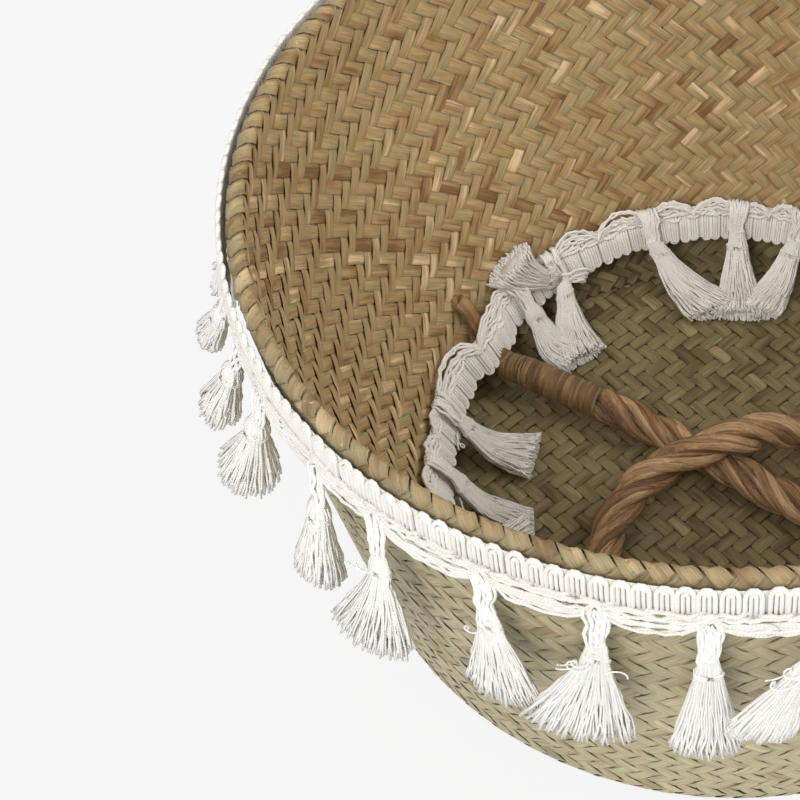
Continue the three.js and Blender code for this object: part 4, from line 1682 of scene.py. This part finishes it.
@dataclass
class Handles:
    """Both rope handles, with their whippings and tails."""

    form: BasketForm
    bound_length: float = 0.0365
    right_lean: float = 26.2
    right_reach: float = 0.172
    left_lay: tuple[tuple[float, float, float], ...] = (
        (-0.28, 0.24, 0.04), (-0.11, 0.13, 0.0), (0.06, 0.02, 0.0), (0.25, -0.1, 0.0),
        (0.41, -0.15, 0.0), (0.5, -0.05, 0.0), (0.5, 0.08, 0.0), (0.4, 0.18, 0.06),
        (0.25, 0.18, 0.34), (0.1, 0.12, 0.82), (-0.05, 0.04, 1.0), (-0.27, -0.08, 0.55),
        (-0.37, -0.25, 0.12), (-0.39, -0.4, 0.04)
    )
    right_arch: tuple[tuple[float, float], ...] = (
        (0.95, 0.24), (0.88, 0.5), (0.7, 0.76), (0.38, 0.95), (0.0, 1.0)
    )

    def lay_points(self) -> Array:
        """The places that the left rope passes as it lies on the base."""
        form = self.form
        lift = form.gap + form.rope_radius
        size = np.array((form.rim_radius, form.rim_radius, 2 * lift))
        return np.array(self.left_lay) * size + UP * (form.thickness + lift)

    def leg(self, hinge: Array, towards: Array) -> list[Array]:
        """The straight start of a rope, a little past its whipping."""
        along = unit(towards - hinge)
        return [hinge + along * share * self.bound_length for share in (0, 0.35, 0.7, 1.1)]

    def left_line(self) -> Array:
        """The middle line of the left rope."""
        lay = self.lay_points()
        back, front = (self.form.hinge(degrees) for degrees in self.form.left_legs)
        start, end = self.leg(back, lay[0]), self.leg(front, lay[-1])
        return smooth_line(np.array([*start, *lay[1:], *reversed(end)]))

    def right_line(self) -> Array:
        """The middle line of the right rope, an arch that leans on the wall."""
        front, back = (self.form.hinge(degrees) for degrees in self.form.right_legs)
        middle = (front + back) / 2
        half = back - middle
        lean = math.radians(self.right_lean)
        rise = unit(np.cross(half, UP)) * math.sin(lean) + UP * math.cos(lean)

        def on_arch(side: float, height: float) -> Array:
            """A point of the arch from shares of its half span and of its reach."""
            return middle + half * side + rise * height * self.right_reach

        first, *others = self.right_arch
        start = self.leg(front, on_arch(-first[0], first[1]))
        end = self.leg(back, on_arch(*first))
        up = [on_arch(-side, height) for side, height in others]
        down = [on_arch(side, height) for side, height in others[:-1]]
        return smooth_line(np.array([*start, *up, *reversed(down), *reversed(end)]))

    def build(self) -> None:
        """Makes both handles."""
        rope = FibreRopeFinish().make("twisted_rope")
        strip = FibreRopeFinish(
            colours=(
                (0.0, (0.090, 0.048, 0.016)), (0.45, (0.185, 0.110, 0.042)),
                (1.0, (0.360, 0.232, 0.102))
            ),
            fibre_length=0.012,
            depth=0.0003,
        ).make("whipping_strip")
        for side, body, line, degrees, ends in (
            ("left", Body.LEFT, self.left_line(), self.form.left_legs, ("back", "front")),
            ("right", Body.RIGHT, self.right_line(), self.form.right_legs, ("front", "back")),
        ):
            Rope(self.form, line, side, body).build(rope)
            for i, end in enumerate(ends):
                run = line if i == 0 else line[::-1]
                along = unit(run[20] - run[0])
                Whipping(run[0], along, f"{side}_whipping_{end}", body).build(strip)
                tail = Tail(self.form, degrees[i], f"{side}_tail_{end}")
                tail.build(rope)
                tail.neck(strip, run[0], along)


# The studio


@dataclass
class Studio:
    """A pale floor, soft light and the camera."""

    camera_at: tuple[float, float, float] = (0.0, -0.4736, 0.6528)
    camera_turn: tuple[float, float, float] = (38.79, 6.28, 6.15)
    lens: float = 94.7
    sensor: float = 36.0
    backdrop: Colour = (0.934, 0.934, 0.934)
    world_light: float = 0.60
    floor_glow: float = 0.93
    floor_z: float = -0.0002
    floor_reach: float = 6.0
    floor_corners: tuple[tuple[int, int], ...] = ((-1, -1), (1, -1), (1, 1), (-1, 1))
    lit: tuple[float, float, float] = (0.0, 0.0, 0.08)
    lamps: tuple[tuple[str, tuple[float, float, float], float, float], ...] = (
        ("key", (-0.35, -1.1, 1.25), 0.7, 15.2),
        ("fill", (1.0, 0.05, 1.15), 0.9, 9.88),
    )

    def light(self, name: str, at: Vector, size: float, power: float) -> None:
        """Adds a soft square lamp that looks at the basket."""
        lamp = bpy.data.lights.new(name, "AREA")
        lamp.size = size
        lamp.energy = power
        holder = placed(name, lamp)
        holder.location = at
        holder.rotation_euler = (Vector(self.lit) - at).to_track_quat("-Z", "Y").to_euler()

    def camera(self) -> None:
        """Adds the camera."""
        eye = bpy.data.cameras.new("camera")
        eye.lens = self.lens
        eye.sensor_width = self.sensor
        holder = placed("camera", eye)
        holder.location = self.camera_at
        holder.rotation_euler = Euler([math.radians(a) for a in self.camera_turn])
        bpy.context.scene.camera = holder

    def seen_directly(self, paint: Paint) -> Shade:
        """One where the camera sees the surface itself or in a reflection."""
        rays = [
            paint.add("ShaderNodeLightPath", output=name)
            for name in ("Is Camera Ray", "Is Glossy Ray", "Is Transmission Ray")
        ]
        return (rays[0] + rays[1] + rays[2]).clamped()

    def floor(self) -> None:
        """Adds the floor, which keeps the basket's shadow."""
        paint = Paint.named("floor")
        grain = paint.noise(paint.place(), 40.0)
        matt = paint.add(
            "ShaderNodeBsdfPrincipled",
            inputs={
                "Base Color": paint.ramp(grain, ((0.0, (0.82,) * 3), (1.0, (0.84,) * 3))),
                "Roughness": 0.9, "Specular IOR Level": 0.1
            },
        )
        glow = paint.add(
            "ShaderNodeEmission", inputs={"Color": (*self.backdrop, 1.0), "Strength": 1.0}
        )
        share = self.seen_directly(paint) * self.floor_glow
        mixed = paint.add("ShaderNodeMixShader", inputs={0: share, 1: matt, 2: glow})
        paint.end("ShaderNodeOutputMaterial", mixed)
        mesh = bpy.data.meshes.new("floor")
        corners = [(x * self.floor_reach, y * self.floor_reach, 0) for x, y in self.floor_corners]
        mesh.from_pydata(corners, [], [range(len(corners))])
        mesh.materials.append(paint.owner)
        plane = placed("floor", mesh)
        plane.location.z = self.floor_z

    def world(self) -> None:
        """Adds the plain light from all round."""
        world = bpy.data.worlds.new("studio")
        paint = Paint(world)
        kind = "ShaderNodeBackground"
        seen = paint.add(kind, inputs={"Color": (*self.backdrop, 1.0)})
        soft = paint.add(
            kind, inputs={"Color": (1.0, 0.99, 0.975, 1.0), "Strength": self.world_light}
        )
        share = paint.add("ShaderNodeLightPath", output="Is Camera Ray")
        mixed = paint.add("ShaderNodeMixShader", inputs={0: share, 1: soft, 2: seen})
        paint.end("ShaderNodeOutputWorld", mixed)
        bpy.context.scene.world = world

    def build(self) -> None:
        """Makes the studio."""
        bpy.context.scene.view_settings.view_transform = "Standard"
        self.camera()
        self.floor()
        self.world()
        for name, at, size, power in self.lamps:
            self.light(name, Vector(at), size, power)


def main() -> None:
    """Builds the basket and its studio."""
    logging.basicConfig(level=logging.INFO, format="%(name)s %(message)s")
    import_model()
    form = BasketForm()
    handles = Handles(form)
    cotton = CottonFinish().make("cotton_yarn")
    # Painted light: the fold tassels take a brighter copy of the cotton, which lifts the shade
    # among their threads.
    thread = CottonFinish((0.950, 0.940, 0.915), (0.880, 0.845, 0.785)).make("tassel_thread_painted_light")
    Plait(form).build(Meridian(form))
    FoldTrim(form).build(cotton, thread)
    lay = handles.lay_points()
    RimTrim(form, (lay[0], lay[-1])).build(cotton)
    handles.build()
    Studio().build()


if __name__ == "__main__":
    main()
